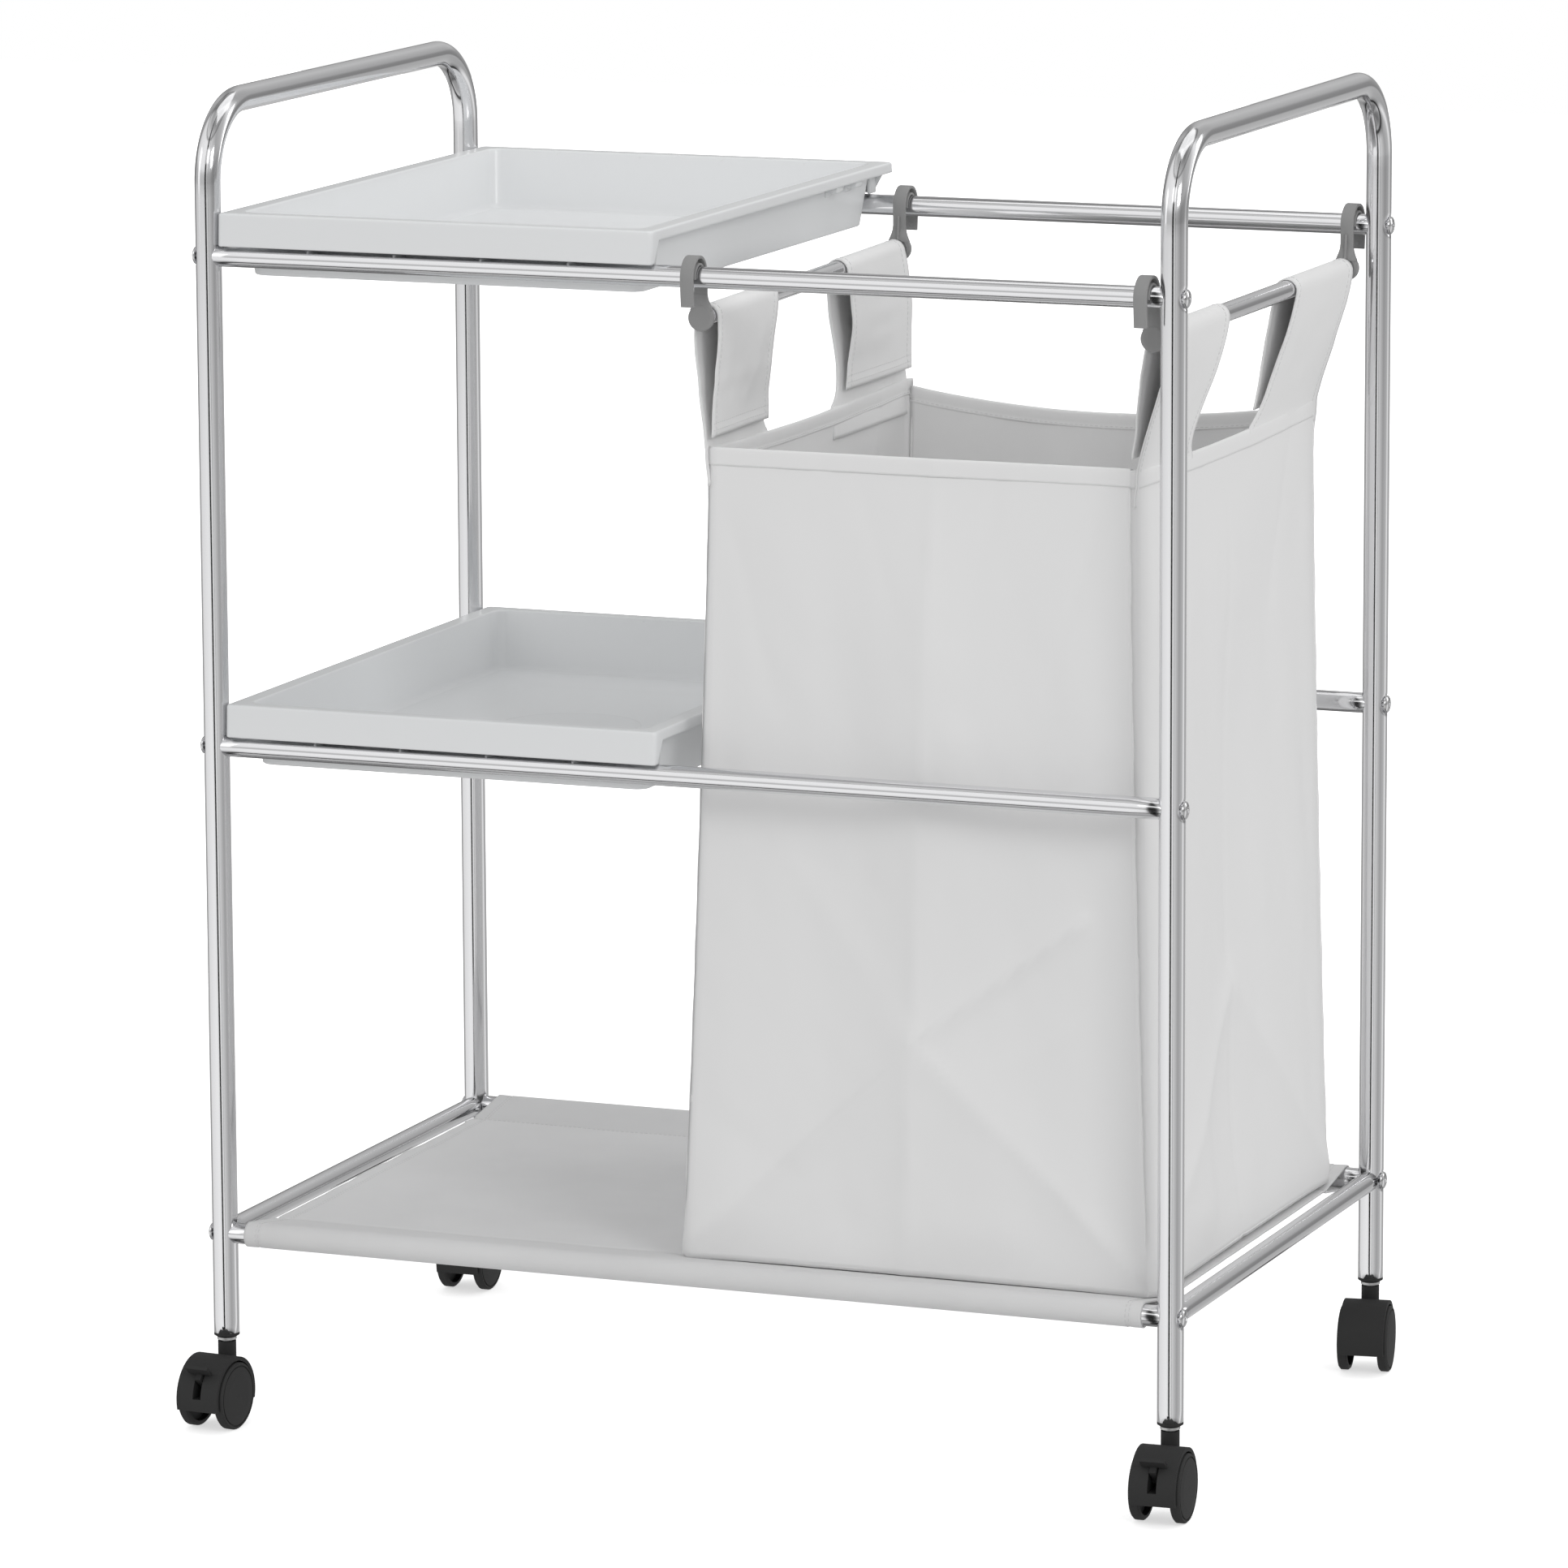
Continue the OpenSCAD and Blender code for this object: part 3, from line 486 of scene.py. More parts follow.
def side_frame(side):
    """Tube round the path: radius times cosine across and sine along X, dented a little under each screw."""
    path = side_frame_path()
    along = np.gradient(path, axis=0)
    along /= np.linalg.norm(along, axis=1, keepdims=True)
    c, s = ring_xy(56)
    radius = np.full((len(path), len(c)), POST_R)
    upright = np.abs(np.abs(path[:, 0]) - POST_Y) < 0.01
    angle = np.arctan2(c, s * side)
    for level in RAIL_LEVELS.values():
        away = np.hypot((path[:, 1] - level)[:, None], (angle * POST_R)[None, :])
        dent = 0.85 * (1 - smooth(5.2, 8.6, away)) * (np.abs(angle) < 1.3)
        radius = radius - dent * upright[:, None]
    across = np.stack([-along[:, 1], along[:, 0]], -1)
    P = np.zeros((len(path), len(c), 3))
    P[..., 0] = side * POST_X + radius * s
    P[..., 1] = path[:, 0, None] + radius * c * across[:, 0, None]
    P[..., 2] = path[:, 1, None] + radius * c * across[:, 1, None]
    centre = np.zeros((len(path), 1, 3))
    centre[..., 0], centre[..., 1:] = side * POST_X, path[:, None]
    ends = []
    for row in (0, -1):
        shares = ((POST_R - 0.25) / POST_R, (POST_R - 0.8) / POST_R, (POST_R - POST_WALL) / POST_R)
        rim = [centre[row] + (P[row] - centre[row]) * k for k in shares]
        rim[0] = rim[0] - [0, 0, 0.25]
        rim[1] = rim[1] - [0, 0, 0.25]
        inner = rim[2] + [0, 0, 22.0]
        ends.append(np.stack(rim + [inner]))
    return np.concatenate([ends[0][::-1], P, ends[1]])


def coped(half, level, fixed, along_y, cope):
    """Tube between two posts whose ends follow the posts: the end stands back by what cope gives."""
    c, s = ring_xy(48)
    rows = []
    marks = [("in", 16.0), ("in", 0.0), ("rim", 0.0), ("out", 0.35)]
    shares = np.linspace(0, 1, 34)[1:-1]
    for end in (-1, 1):
        block = []
        for kind, back in marks:
            r = RAIL_R - (RAIL_WALL if kind == "in" else 0.22 if kind == "rim" else 0.0)
            block.append((end * (half - cope(RAIL_R * c, RAIL_R * s) - back), r))
        if end > 0:
            block = block[::-1]
        rows.append(block)
    first, last = rows
    middle = [(first[-1][0] * (1 - t) + last[0][0] * t, RAIL_R) for t in shares]
    P = []
    for place, r in first + middle + last:
        ring = np.stack([place, r * c, r * s], -1)
        P.append(ring)
    P = np.stack(P)
    if along_y:
        P = P[..., [1, 0, 2]]
    P = P + (np.array([fixed, 0, level]) if along_y else np.array([0, fixed, level]))
    return P


def post_cope(a, _):
    """How far back a rail's end stands from the post's axis, at a across the post, at any height."""
    return np.sqrt(np.maximum((POST_R + 0.12) ** 2 - a * a, 0))


def side_cope(a, b):
    """The same for a side rail, which at height b also stays clear of the cross rails beside it."""
    return np.maximum(post_cope(a, b), np.sqrt(np.maximum((RAIL_R + 0.35) ** 2 - b * b, 0)))


def screw_heads():
    """Button heads: shallow domes turned about X, with a hexagon socket: its flat over the angle's cosine."""
    b = Builder()
    c, s = ring_xy(60)
    a = np.arctan2(s, c)
    hexagon = 2.0 / np.cos((a % (np.pi / 3)) - np.pi / 6)
    rim = [(6.75 * math.sin(t), 0.55 + 2.65 * math.cos(t)) for t in np.linspace(0.46, 1.5708, 14)]
    for side in (-1, 1):
        for end in (-1, 1):
            for level in RAIL_LEVELS.values():
                rows = [(0 * hexagon, 1.2), (hexagon * 0.98, 1.2), (hexagon, 1.3), (hexagon, 2.75),
                        (hexagon * 1.08, 2.95)]
                rows += [(np.full(60, r), h) for r, h in rim]
                rows += [(np.full(60, 6.72), 0.2), (np.full(60, 6.5), 0.0), (np.full(60, 3.1), 0.0),
                         (np.full(60, 3.0), -2.0), (np.full(60, 3.0), -30.0)]
                P = np.zeros((len(rows), 60, 3))
                for k, (r, h) in enumerate(rows):
                    P[k, :, 0] = side * (POST_X + POST_R - 0.75 + h)
                    P[k, :, 1] = end * POST_Y + r * c
                    P[k, :, 2] = level + r * s
                b.grid(P, wrap=True, flip=side > 0)
    return b


# ---------------------------------------------------------------- trays

def outline(x0, x1, y0, y1, corner, marks, steps=7):
    """Points round a rounded rectangle; marks are the places along each side that get a column."""
    sides = []
    r = np.minimum(corner, 0.5 * min(x1 - x0, y1 - y0) - 1e-3)
    quarter = np.radians(np.linspace(0, 90, steps))
    xs = [x0 + r + (x1 - x0 - 2 * r) * t for t in marks["x"]]
    ys = [y0 + r + (y1 - y0 - 2 * r) * t for t in marks["y"]]
    corners = ((x1 - r, y0 + r, -90), (x1 - r, y1 - r, 0), (x0 + r, y1 - r, 90), (x0 + r, y0 + r, 180))
    for cx, cy, start in corners:
        a = quarter + math.radians(start)
        sides.append(np.stack([cx + r * np.cos(a), cy + r * np.sin(a)], -1))
    bottom = np.stack([xs, np.full(len(xs), y0)], -1)
    right = np.stack([np.full(len(ys), x1), ys], -1)
    top = np.stack([xs[::-1], np.full(len(xs), y1)], -1)
    left = np.stack([np.full(len(ys), x0), ys[::-1]], -1)
    return np.concatenate([bottom, sides[0], right, sides[1], top, sides[2], left, sides[3]])


def tray_surface(rail_top):
    """Tray as one skin of rounded rectangles: floor, inner wall, rim, lip and skirts, then the underside."""
    t = TRAY
    top, floor, under = rail_top + t["rise"], rail_top - t["drop"] + t["wall"], rail_top - t["drop"]
    y = t["y"]
    span_x, span_y = t["x1"] - t["x0"], 2 * y
    cut_x = [(t["rim"] + k) / span_x for k in (-0.7, 0.7)]
    cut_y = [(12 + k) / span_y for k in (-0.7, 0.7)]
    marks = {
        "x": sorted(list(np.linspace(0.012, 0.988, 22)) + cut_x + [1 - k for k in cut_x]),
        "y": sorted(list(np.linspace(0.012, 0.988, 26)) + cut_y),
    }
    lip, skirt = 7.8, t["rise"]
    rows = []

    def loop(inset_x, inset_y, corner, height):
        P = outline(t["x0"] + inset_x, t["x1"] - inset_x, -y + inset_y, y - inset_y, corner, marks)
        z = height(P) if callable(height) else np.full(len(P), float(height))
        rows.append(np.column_stack([P, z]))

    def skirt_drop(P):
        front = P[:, 1] < -y + 12.6
        rear = (P[:, 1] > y - 5.5) & (P[:, 0] > t["x0"] + t["rim"]) & (P[:, 0] < t["x1"] - t["rim"])
        return np.where(front | rear, skirt, lip)

    fx, fy = t["floor_x"], t["floor_y"]
    rim = t["rim"]
    loop(span_x / 2 - 0.01, y - 0.01 - 60, 1e-3, floor)
    loop(fx + 60, fy + 60, 5, floor)
    for a in np.radians([0, 22, 45, 68, 85]):
        k = 4.5 * (1 - math.sin(a))
        loop(fx + k + 0.001, fy + k, 6 + 2.0 * math.sin(a), floor + 4.5 * (1 - math.cos(a)))
    rise = top - 1.6 - floor - 4.5
    for f in (0.25, 0.5, 0.75, 1.0):
        loop(fx + (rim - fx) * f, fy + (rim - fy) * f, 8 + f, floor + 4.5 + rise * f)
    for a in np.radians([25, 50, 75, 90]):
        k = 1.6 * (1 - math.cos(a))
        loop(rim - k, rim - k, 9 + k, top - 1.6 + 1.6 * math.sin(a))
    loop(rim - 3.0, rim - 3.0, 10, top)
    loop(rim / 2, rim / 2, 7, top)
    loop(2.4, 2.6, 4.5, top)
    for a in np.radians([15, 40, 65, 90]):
        loop(1.7 * (1 - math.sin(a)), 1.2 + 1.5 * (1 - math.sin(a)), 3.5, top - 1.7 * (1 - math.cos(a)))
    loop(0, 1.1, 3.5, top - 4.0)
    for f in (0.5, 0.95):
        loop(0, 1.1 - 1.0 * f, 3.5, lambda P, f=f: top - 4.0 - (skirt_drop(P) - 4.0) * f)
    loop(0.3, 0.3, 3.3, lambda P: top - skirt_drop(P))
    loop(1.9, 1.9, 2.2, lambda P: top - skirt_drop(P))
    loop(2.2, 2.3, 2.0, lambda P: top - skirt_drop(P) + 0.4)
    loop(2.2, 3.3, 2.0, top - 3.4)
    loop(3.0, 4.0, 2.0, top - 2.4)
    loop(rim - 3.4, rim - 3.4, 10, top - 2.4)
    loop(rim - 2.2, rim - 2.2, 11.2, top - 3.6)
    for f in (0.3, 0.65, 0.93):
        loop(rim - 2.2 + (fx - rim) * f, rim - 2.2 + (fy - rim) * f, 11, top - 3.6 - (top - 3.6 - under) * f)
    for a in np.radians([30, 60, 90]):
        k = 2.6 * (1 - math.cos(a))
        loop(fx - 2.2 + k, fy - 2.2 + k, 8.5, under + 2.6 * (1 - math.sin(a)))
    loop(fx + 60, fy + 60, 5, under)
    loop(span_x / 2 - 0.01, y - 0.01 - 60, 1e-3, under)
    return np.stack(rows)


def plate(x0, x1, y0, y1, z0, z1, r=0.5):
    """Small block with rounded upright edges, as rings from its top to its bottom."""
    marks = {"x": [0.5], "y": [0.5]}
    rows = []
    for inset, z in ((min(x1 - x0, y1 - y0) / 2 - 0.01, z1), (r, z1), (0, z1 - r), (0, z0 + r), (r, z0),
                     (min(x1 - x0, y1 - y0) / 2 - 0.01, z0)):
        P = outline(x0 + inset, x1 - inset, y0 + inset, y1 - inset, r, marks, 4)
        rows.append(np.column_stack([P, np.full(len(P), z)]))
    return np.stack(rows)


def tray(name, rail_top):
    """The tray's skin, its ribs and clips under the rim, and the faint round mark moulded in its floor."""
    b = Builder()
    b.grid(tray_surface(rail_top), wrap=True, flip=True)
    t = TRAY
    top, foot, end = rail_top + t["rise"], rail_top + 0.3, t["x1"]
    plates = []
    for x in (t["x0"] + t["rim"], end - t["rim"] - t["wall"]):
        plates.append(plate(x, x + t["wall"], t["y"] - 14.5, t["y"] - 1.2, foot, top - 2.0))
    for k in (1, 2, 3, 4):
        x = t["x0"] + (end - t["x0"]) * k / 5
        plates.append(plate(x, x + 1.8, t["y"] - 14.5, t["y"] - 2.0, foot, top - 2.0))
        plates.append(plate(x, x + 1.8, -t["y"] + 2.0, -t["y"] + 14.5, foot, top - 2.0))
    for y in (128.0, 168.0):
        plates.append(plate(end - 12.0, end - 2.4, y, y + 13, top - 12.5, top - 7.0, 0.8))
        plates.append(plate(end - 14.0, end - 11.0, y + 1, y + 12, top - 16.0, top - 2.4, 0.8))
    for P in plates:
        b.grid(P, wrap=True, flip=True)
    middle = ((t["x0"] + t["x1"]) / 2, 0)
    floor = rail_top - t["drop"] + t["wall"]
    ring = [(0.01, 0.12), (53.5, 0.12), (54.5, 0.05), (55.0, -0.4)]
    b.grid(lathe(ring, 72, (*middle, floor), (0, 0, 1)), wrap=True)
    b.mesh(name + "_moulding", material("white_plastic"), name, "white_plastic", (name,))


# ---------------------------------------------------------------- hooks and rods

def hanger_frame(side):
    """Turn and place of a hanger: its rod's direction, its direction along the rails, and its middle."""
    turn = LEFT_ROD_TURN if side < 0 else 0.0
    along = np.array([-math.sin(turn), math.cos(turn), 0])
    across = np.array([math.cos(turn), math.sin(turn), 0])
    return along, across, np.array([LEFT_ROD_X if side < 0 else RIGHT_ROD_X, 0, 0]), POST_Y / math.cos(turn)


def hook_builder(side, end):
    """Hook: a flat band along tongue, arch and stem, a saddle and web inside it, and a disc on the rod."""
    rod, across, middle, reach = hanger_frame(side)
    rail_z = RAIL_LEVELS["top"]
    inward = -end * rod
    centre = middle + rod * end * reach + np.array([0, 0, rail_z])
    up = np.array([0, 0, 1.0])

    def place(points):
        points = np.asarray(points, float)
        return centre + points[:, :1] * inward + points[:, 1:] * up

    r = HOOK_R - HOOK_BAND / 2
    tongue = [(-r + 1.5 * (1 - k) ** 1.5, -20 + 20 * k) for k in np.linspace(0, 0.94, 9)]
    arch = [(-r * math.cos(a), r * math.sin(a)) for a in np.radians(np.linspace(0, 180, 33))]
    stem = [(r, -k) for k in np.linspace(1.5, 16, 6)]
    path = place(tongue + arch + stem)
    b = Builder()
    b.grid(strip(path, across, HOOK_W, HOOK_BAND), wrap=True)
    saddle = place([(-9.3 * math.cos(a), 9.3 * math.sin(a)) for a in np.radians(np.linspace(-4, 184, 31))])
    b.grid(strip(saddle, across, HOOK_W, 1.8, 0.4), wrap=True)
    angles = np.radians(np.linspace(0, 180, 37))
    web = []
    for radius, off in ((9.9, -0.9), (13.4, -0.9), (13.4, 0.9), (9.9, 0.9), (9.9, -0.9)):
        ring = place(np.stack([-radius * np.cos(angles), radius * np.sin(angles)], -1)) + across * off
        web.append(ring)
    b.grid(np.stack(web, 1), wrap=False)
    blade = []
    for k in np.linspace(0, 1, 15):
        z = -14 - k * 11.5
        half = 5.0 + (8.2 - 5.0) * k ** 1.8
        blade.append((z, half))
    rounded = ((-1, 0), (-0.93, -0.12), (0.93, -0.12), (1, 0), (1, 0.9), (0.93, 1), (-0.93, 1), (-1, 0.9))
    rows = []
    for z, half in blade:
        ring = []
        thick = 2.3 + 2.0 * smooth(-15, -24, z) if z < 0 else 2.3
        for u, v in rounded:
            ring.append(centre + across * (u * half) + inward * (13.05 + (v + 0.12) * thick) + up * z)
        rows.append(ring)
    b.grid(np.array(rows), wrap=True, flip=end > 0)
    face = centre + inward * 12.8 + up * (-(rail_z - ROD_Z))
    disc = [(0.01, 0.25), (6.0, 0.2), (6.6, 0.0), (8.9, 0.05), (9.35, 0.3), (9.5, 0.8), (9.5, 3.9),
            (9.2, 4.4), (8.6, DISC_DEPTH), (6.3, DISC_DEPTH), (6.1, 5.2), (6.0, 14)]
    b.grid(lathe(disc, 56, face, inward), wrap=True, flip=True)
    rib = place([(13.6 + 3.2, -6 - 18 * k) for k in np.linspace(0, 1, 8)])
    b.grid(strip(rib, across, 1.8, np.linspace(1.2, 5.0, 8), 0.5), wrap=True)
    boss = centre - inward * (r - 1.3) + up * -16.0
    b.grid(lathe([(0.01, 1.4), (1.6, 1.2), (2.1, 0.6), (2.3, -0.8)], 24, boss, inward), wrap=True, flip=True)
    return b


def rod_surface(side):
    """Straight tube between the two discs of a hanger, with rounded rims."""
    rod, _, middle, reach = hanger_frame(side)
    half = reach - HOOK_FACE - DISC_DEPTH
    profile = [(ROD_R - 0.8, 14), (ROD_R - 0.8, 0), (ROD_R - 0.25, 0), (ROD_R, 0.3)]
    profile += [(ROD_R, h) for h in np.linspace(0.3, 2 * half - 0.3, 44)[1:-1]]
    profile += [(ROD_R, 2 * half - 0.3), (ROD_R - 0.25, 2 * half), (ROD_R - 0.8, 2 * half)]
    profile += [(ROD_R - 0.8, 2 * half - 14)]
    start = middle - rod * half + np.array([0, 0, ROD_Z])
    return lathe(profile, 48, start, rod)


# ---------------------------------------------------------------- cloth

BAG = dict(x=169.25, top_w=325.0, bottom_w=364.0, flare=-4.5, depth=400.0, hem=743.5, bottom=149.5,
           corner=9.0, mean_w=340.0)


def bag_section(v):
    """Plan of the bag at a share v from hem to bottom: its middle x, half width and half depth."""
    half = (BAG["top_w"] + (BAG["bottom_w"] - BAG["top_w"]) * v ** 1.25) / 2
    middle = BAG["x"] + BAG["flare"] * v
    return middle, half, BAG["depth"] / 2


def bag_columns():
    """Columns round the bag: which of its four sides each is on, and its share along that side."""
    panels = []
    for panel, count in ((0, 74), (1, 88), (2, 74), (3, 88)):
        share = np.linspace(0, 1, count, endpoint=False)
        share = share - 0.012 * np.sin(2 * np.pi * share)
        panels.append(np.stack([np.full(count, panel), np.clip(share, 0, 1)], -1))
    return np.concatenate(panels)


def bag_fullness(panel, s, z):
    """How far the cloth stands out of the bag's plain shape, in millimetres, at share s and height z."""
    fall = (BAG["hem"] - z) / (BAG["hem"] - BAG["bottom"])
    body = smooth(0.01, 0.2, fall) * smooth(1.0, 0.93, fall)
    width = np.where(panel % 2 == 0, BAG["mean_w"], BAG["depth"])
    x = s * width
    edge = smooth(0, 0.10, s) * smooth(1, 0.90, s)
    seed = panel.astype(int)
    out = np.zeros_like(z)
    for k in range(4):
        here = seed == k
        big = lattice_noise(x / 105 + 3 * k, z / 170 + 7, 11 + k) * 4.0
        long = lattice_noise(x / 36 + 5 * k + z / 300, z / 200, 31 + k) * 1.8
        small = lattice_noise(x / 15 + z / 60, z / 26 + k, 51 + k) * 0.40
        out = np.where(here, (big + long) * edge * body + small * body, out)
    pinch = -1.6 * np.exp(-np.minimum(s, 1 - s) * width / 5.0) * body
    return out + pinch


def front_folds(s, z):
    """Folds of the front panel: a ridge down its middle, a star of creases low down and a few wrinkles."""
    lift = 4.5
    x, z = s * BAG["mean_w"], z + lift
    c = BAG["mean_w"] / 2
    fall = (BAG["hem"] + lift - z) / (BAG["hem"] - BAG["bottom"])
    middle = c + 12.0 - 20.0 * fall
    ridge = 9.0 * np.exp(-np.abs(x - middle) / 45.0) * smooth(-0.05, 0.25, fall) * smooth(1.04, 0.62, fall)
    crease = 1.3 * np.exp(-np.abs(x - middle) / 2.2) * smooth(0.0, 0.03, fall)
    star = (c - 1, 326.0)
    below = smooth(star[1] + 10, star[1] - 60, z)
    out = ridge + crease + 4.5 * np.exp(-np.abs(x - middle) / 26.0) * below * smooth(150, 200, z) - 2.0
    for end, depth, width in (((-8, 152), 7.5, 24), ((348, 152), 6.5, 24), ((c + 128, 424), 5.0, 7.0),
                              ((c - 110, 470), 2.6, 18), ((c + 30, 560), 2.0, 14)):
        out = out + depth * segment_fold(x, z, star, end, width, 0.05)
        out = out + 1.0 * segment_fold(x, z, star, end, 2.4, 0.05) * (1 if depth > 4 else 0)
    for start, end, depth, width in (((18, 700), (60, 560), -1.4, 9), ((310, 715), (270, 590), -1.5, 8),
                                     ((120, 730), (150, 640), -0.9, 8), ((230, 735), (215, 660), -0.9, 7),
                                     ((40, 470), (150, 430), -0.9, 11), ((300, 350), (215, 300), 1.0, 8),
                                     ((20, 260), (95, 215), -1.1, 8), ((325, 540), (250, 500), -1.0, 9)):
        out = out + depth * segment_fold(x, z, start, end, width, 0.25)
    return out


def side_folds(s, z):
    """Folds of a side panel: a soft valley down its middle, and two creases down to the bottom corners."""
    y = s * BAG["depth"]
    fall = (BAG["hem"] - z) / (BAG["hem"] - BAG["bottom"])
    valley = -8.0 * np.exp(-((y - 200) / 80.0) ** 2) * smooth(-0.05, 0.45, fall) * smooth(1.02, 0.80, fall)
    crease = -1.2 * np.exp(-np.abs(y - 200) / 2.6) * smooth(0, 0.2, fall)
    out = valley + crease
    for end in ((0, 152), (400, 152)):
        out = out + 4.5 * segment_fold(y, z, (200, 345), end, 18, 0.06)
    out = out - 1.4 * segment_fold(y, z, (60, 735), (110, 600), 8, 0.2)
    out = out - 1.3 * segment_fold(y, z, (345, 735), (300, 610), 8, 0.2)
    return out


def hem_height(panel, s):
    """Height of the hem: level in front, dipping a little at the rear and between the straps at the sides."""
    rear = -4.0 - 15.0 * np.sin(np.pi * s) ** 0.8
    side = -3.5 * np.sin(np.pi * s)
    return BAG["hem"] + np.where(panel == 2, rear, np.where(panel == 0, 1.0, side))


def bag_point(panel, s, v, out=0.0):
    """A point of the bag's skin: straight sides of the plan, its corners rounded, pushed out by the folds."""
    middle, half, deep = bag_section(v)
    r = BAG["corner"]
    top = hem_height(panel, s)
    z = top + (BAG["bottom"] - top) * v
    inset = lambda length: np.clip(s * length, 0, length)
    x_len, y_len = 2 * half, 2 * deep
    first_three = [panel == 0, panel == 1, panel == 2]
    x_there = [middle - half + inset(x_len), middle + half, middle + half - inset(x_len)]
    x = np.select(first_three, x_there, middle - half)
    y = np.select(first_three, [-deep, -deep + inset(y_len), deep], deep - inset(y_len))
    nx = np.select([panel == 1, panel == 3], [1.0, -1.0], 0.0)
    ny = np.select([panel == 0, panel == 2], [-1.0, 1.0], 0.0)
    along = np.where(panel % 2 == 0, x_len, y_len)
    near = np.minimum(s, 1 - s) * along
    cut = np.where(near < r, r - np.sqrt(np.maximum(r * r - (r - near) ** 2, 0)), 0) * 0.5
    flat = out - cut
    return np.stack([x + nx * flat, y + ny * flat, z], -1)


def bag_sides():
    """Rows from hem to bottom of the bag's sides, with every fold pushed in along the side's own normal."""
    cols = bag_columns()
    panel, s = cols[:, 0], cols[:, 1]
    v = np.concatenate([np.linspace(0, 0.04, 7), np.linspace(0.04, 0.985, 122)[1:], [0.992, 1.0]])
    panel, s, v = np.broadcast_arrays(panel[None, :], s[None, :], v[:, None])
    z = BAG["hem"] + (BAG["bottom"] - BAG["hem"]) * v
    out = bag_fullness(panel, s, z)
    out = out + np.where(panel == 0, front_folds(s, z), 0)
    out = out + np.where(panel == 2, front_folds(1 - s, z) * 0.8, 0)
    out = out + np.where(panel % 2 == 1, side_folds(np.where(panel == 1, s, 1 - s), z), 0)
    edge = smooth(0, 0.03, s) * smooth(1, 0.97, s)
    out = np.where(panel == 3, np.minimum(out, 0.8), 20.0 * np.tanh(out / 20.0)) * (0.25 + 0.75 * edge)
    return bag_point(panel, s, v, out)


def bag_body():
    """The bag: its sides in two plies, and a bottom that closes in on its middle line."""
    side = bag_sides()
    last = side[-1]
    middle = last.mean(0)
    rows = [side]
    for k in (0.985, 0.96, 0.8, 0.6, 0.4, 0.2, 0.02):
        ring = middle + (last - middle) * k
        uneven = 0.8 * lattice_noise(ring[:, 0] / 60, ring[:, 1] / 60, 5) * (1 - k)
        ring[:, 2] = BAG["bottom"] + 0.25 + 0.5 * (1 - k) + uneven
        rows.append(ring[None])
    P = np.concatenate(rows)
    b = Builder()
    b.cloth(P, 1.5, wrap=True)
    obj = b.mesh("bag_cloth", material("white_cloth"), "hamper", "white_cloth", ("bag_body",))
    return obj, side


def bag_hem(side):
    """Folded band at the bag's mouth: the top of the sides again, a little proud, turned over the edge."""
    p = bpy.context.scene.laundry_sorter
    depth = p.hem_depth / MM
    cols = bag_columns()
    panel, s = cols[:, 0], cols[:, 1]
    heights = [(-depth, 0.75), (-depth + 0.5, 1.35), (-depth * 0.85, 1.5), (-depth * 0.80, 1.2),
               (-depth * 0.6, 1.55), (-depth * 0.3, 1.6), (-1.2, 1.5), (0.2, 1.2), (0.9, 0.5), (1.0, 0.0),
               (0.9, -0.5), (0.2, -1.2), (-1.2, -1.5), (-depth * 0.3, -1.6), (-depth * 0.6, -1.5),
               (-depth * 0.85, -1.4), (-depth, -1.3), (-depth, -0.75)]
    normal = grid_normals(side, True)
    rows = []
    wave = 0.35 * lattice_noise(s * 26 + panel * 9, s * 0 + 2, 77)
    for dz, out in heights:
        share = np.clip(-dz, 0, None) / (BAG["hem"] - BAG["bottom"])
        base = bag_point(panel, s, np.full_like(s, share))
        push = side[4] - bag_point(panel, s, np.full_like(s, 0.0267))
        base = base + push * [1, 1, 0]
        base[:, 2] += max(dz, 0)
        rows.append(base + normal[4] * (out + wave[:, None] * np.sign(out)))
    P = np.stack(rows)
    b = Builder()
    b.grid(P, wrap=True, flip=True)
    obj = b.mesh("bag_hem_band", material("white_cloth"), "hamper", "white_cloth")
    outward = np.concatenate([normal[4], normal[4][:1]])
    loop = np.concatenate([P[3], P[3][:1]]) + outward * 0.12
    thread = Builder()
    thread.sew(loop, outward, p.stitch_length / MM, 0.55)
    return obj, thread


def bag_seams(side):
    """Seams: thin folded strips of cloth up the four corners, and round piping along the bottom edge."""
    b = Builder()
    cols = bag_columns()
    normal = grid_normals(side, True)
    starts = [int(np.argmin(np.abs(cols[:, 0] - k) + cols[:, 1])) for k in range(4)]
    for j in starts:
        line = side[3:, j]
        outward = normal[3:, j - 1] + normal[3:, (j + 1) % side.shape[1]]
        outward[:, 2] = 0
        outward /= np.linalg.norm(outward, axis=1, keepdims=True)
        line = line + outward * (1.0 + 0.35 * np.sin(line[:, 2:] / 9.0))
        across = outward.mean(0) / np.linalg.norm(outward.mean(0))
        b.grid(strip(line, across, 3.4, 1.3, 0.55), wrap=True)
    rim = side[-1] + normal[-3] * 0.4
    rim = np.concatenate([rim, rim[:1]])
    rim[:, 2] = BAG["bottom"] + 1.6
    b.grid(tube_points(rim, 1.15, 10, closed=True), wrap=True)
    return b.mesh("bag_seams", material("white_cloth"), "hamper", "white_cloth")


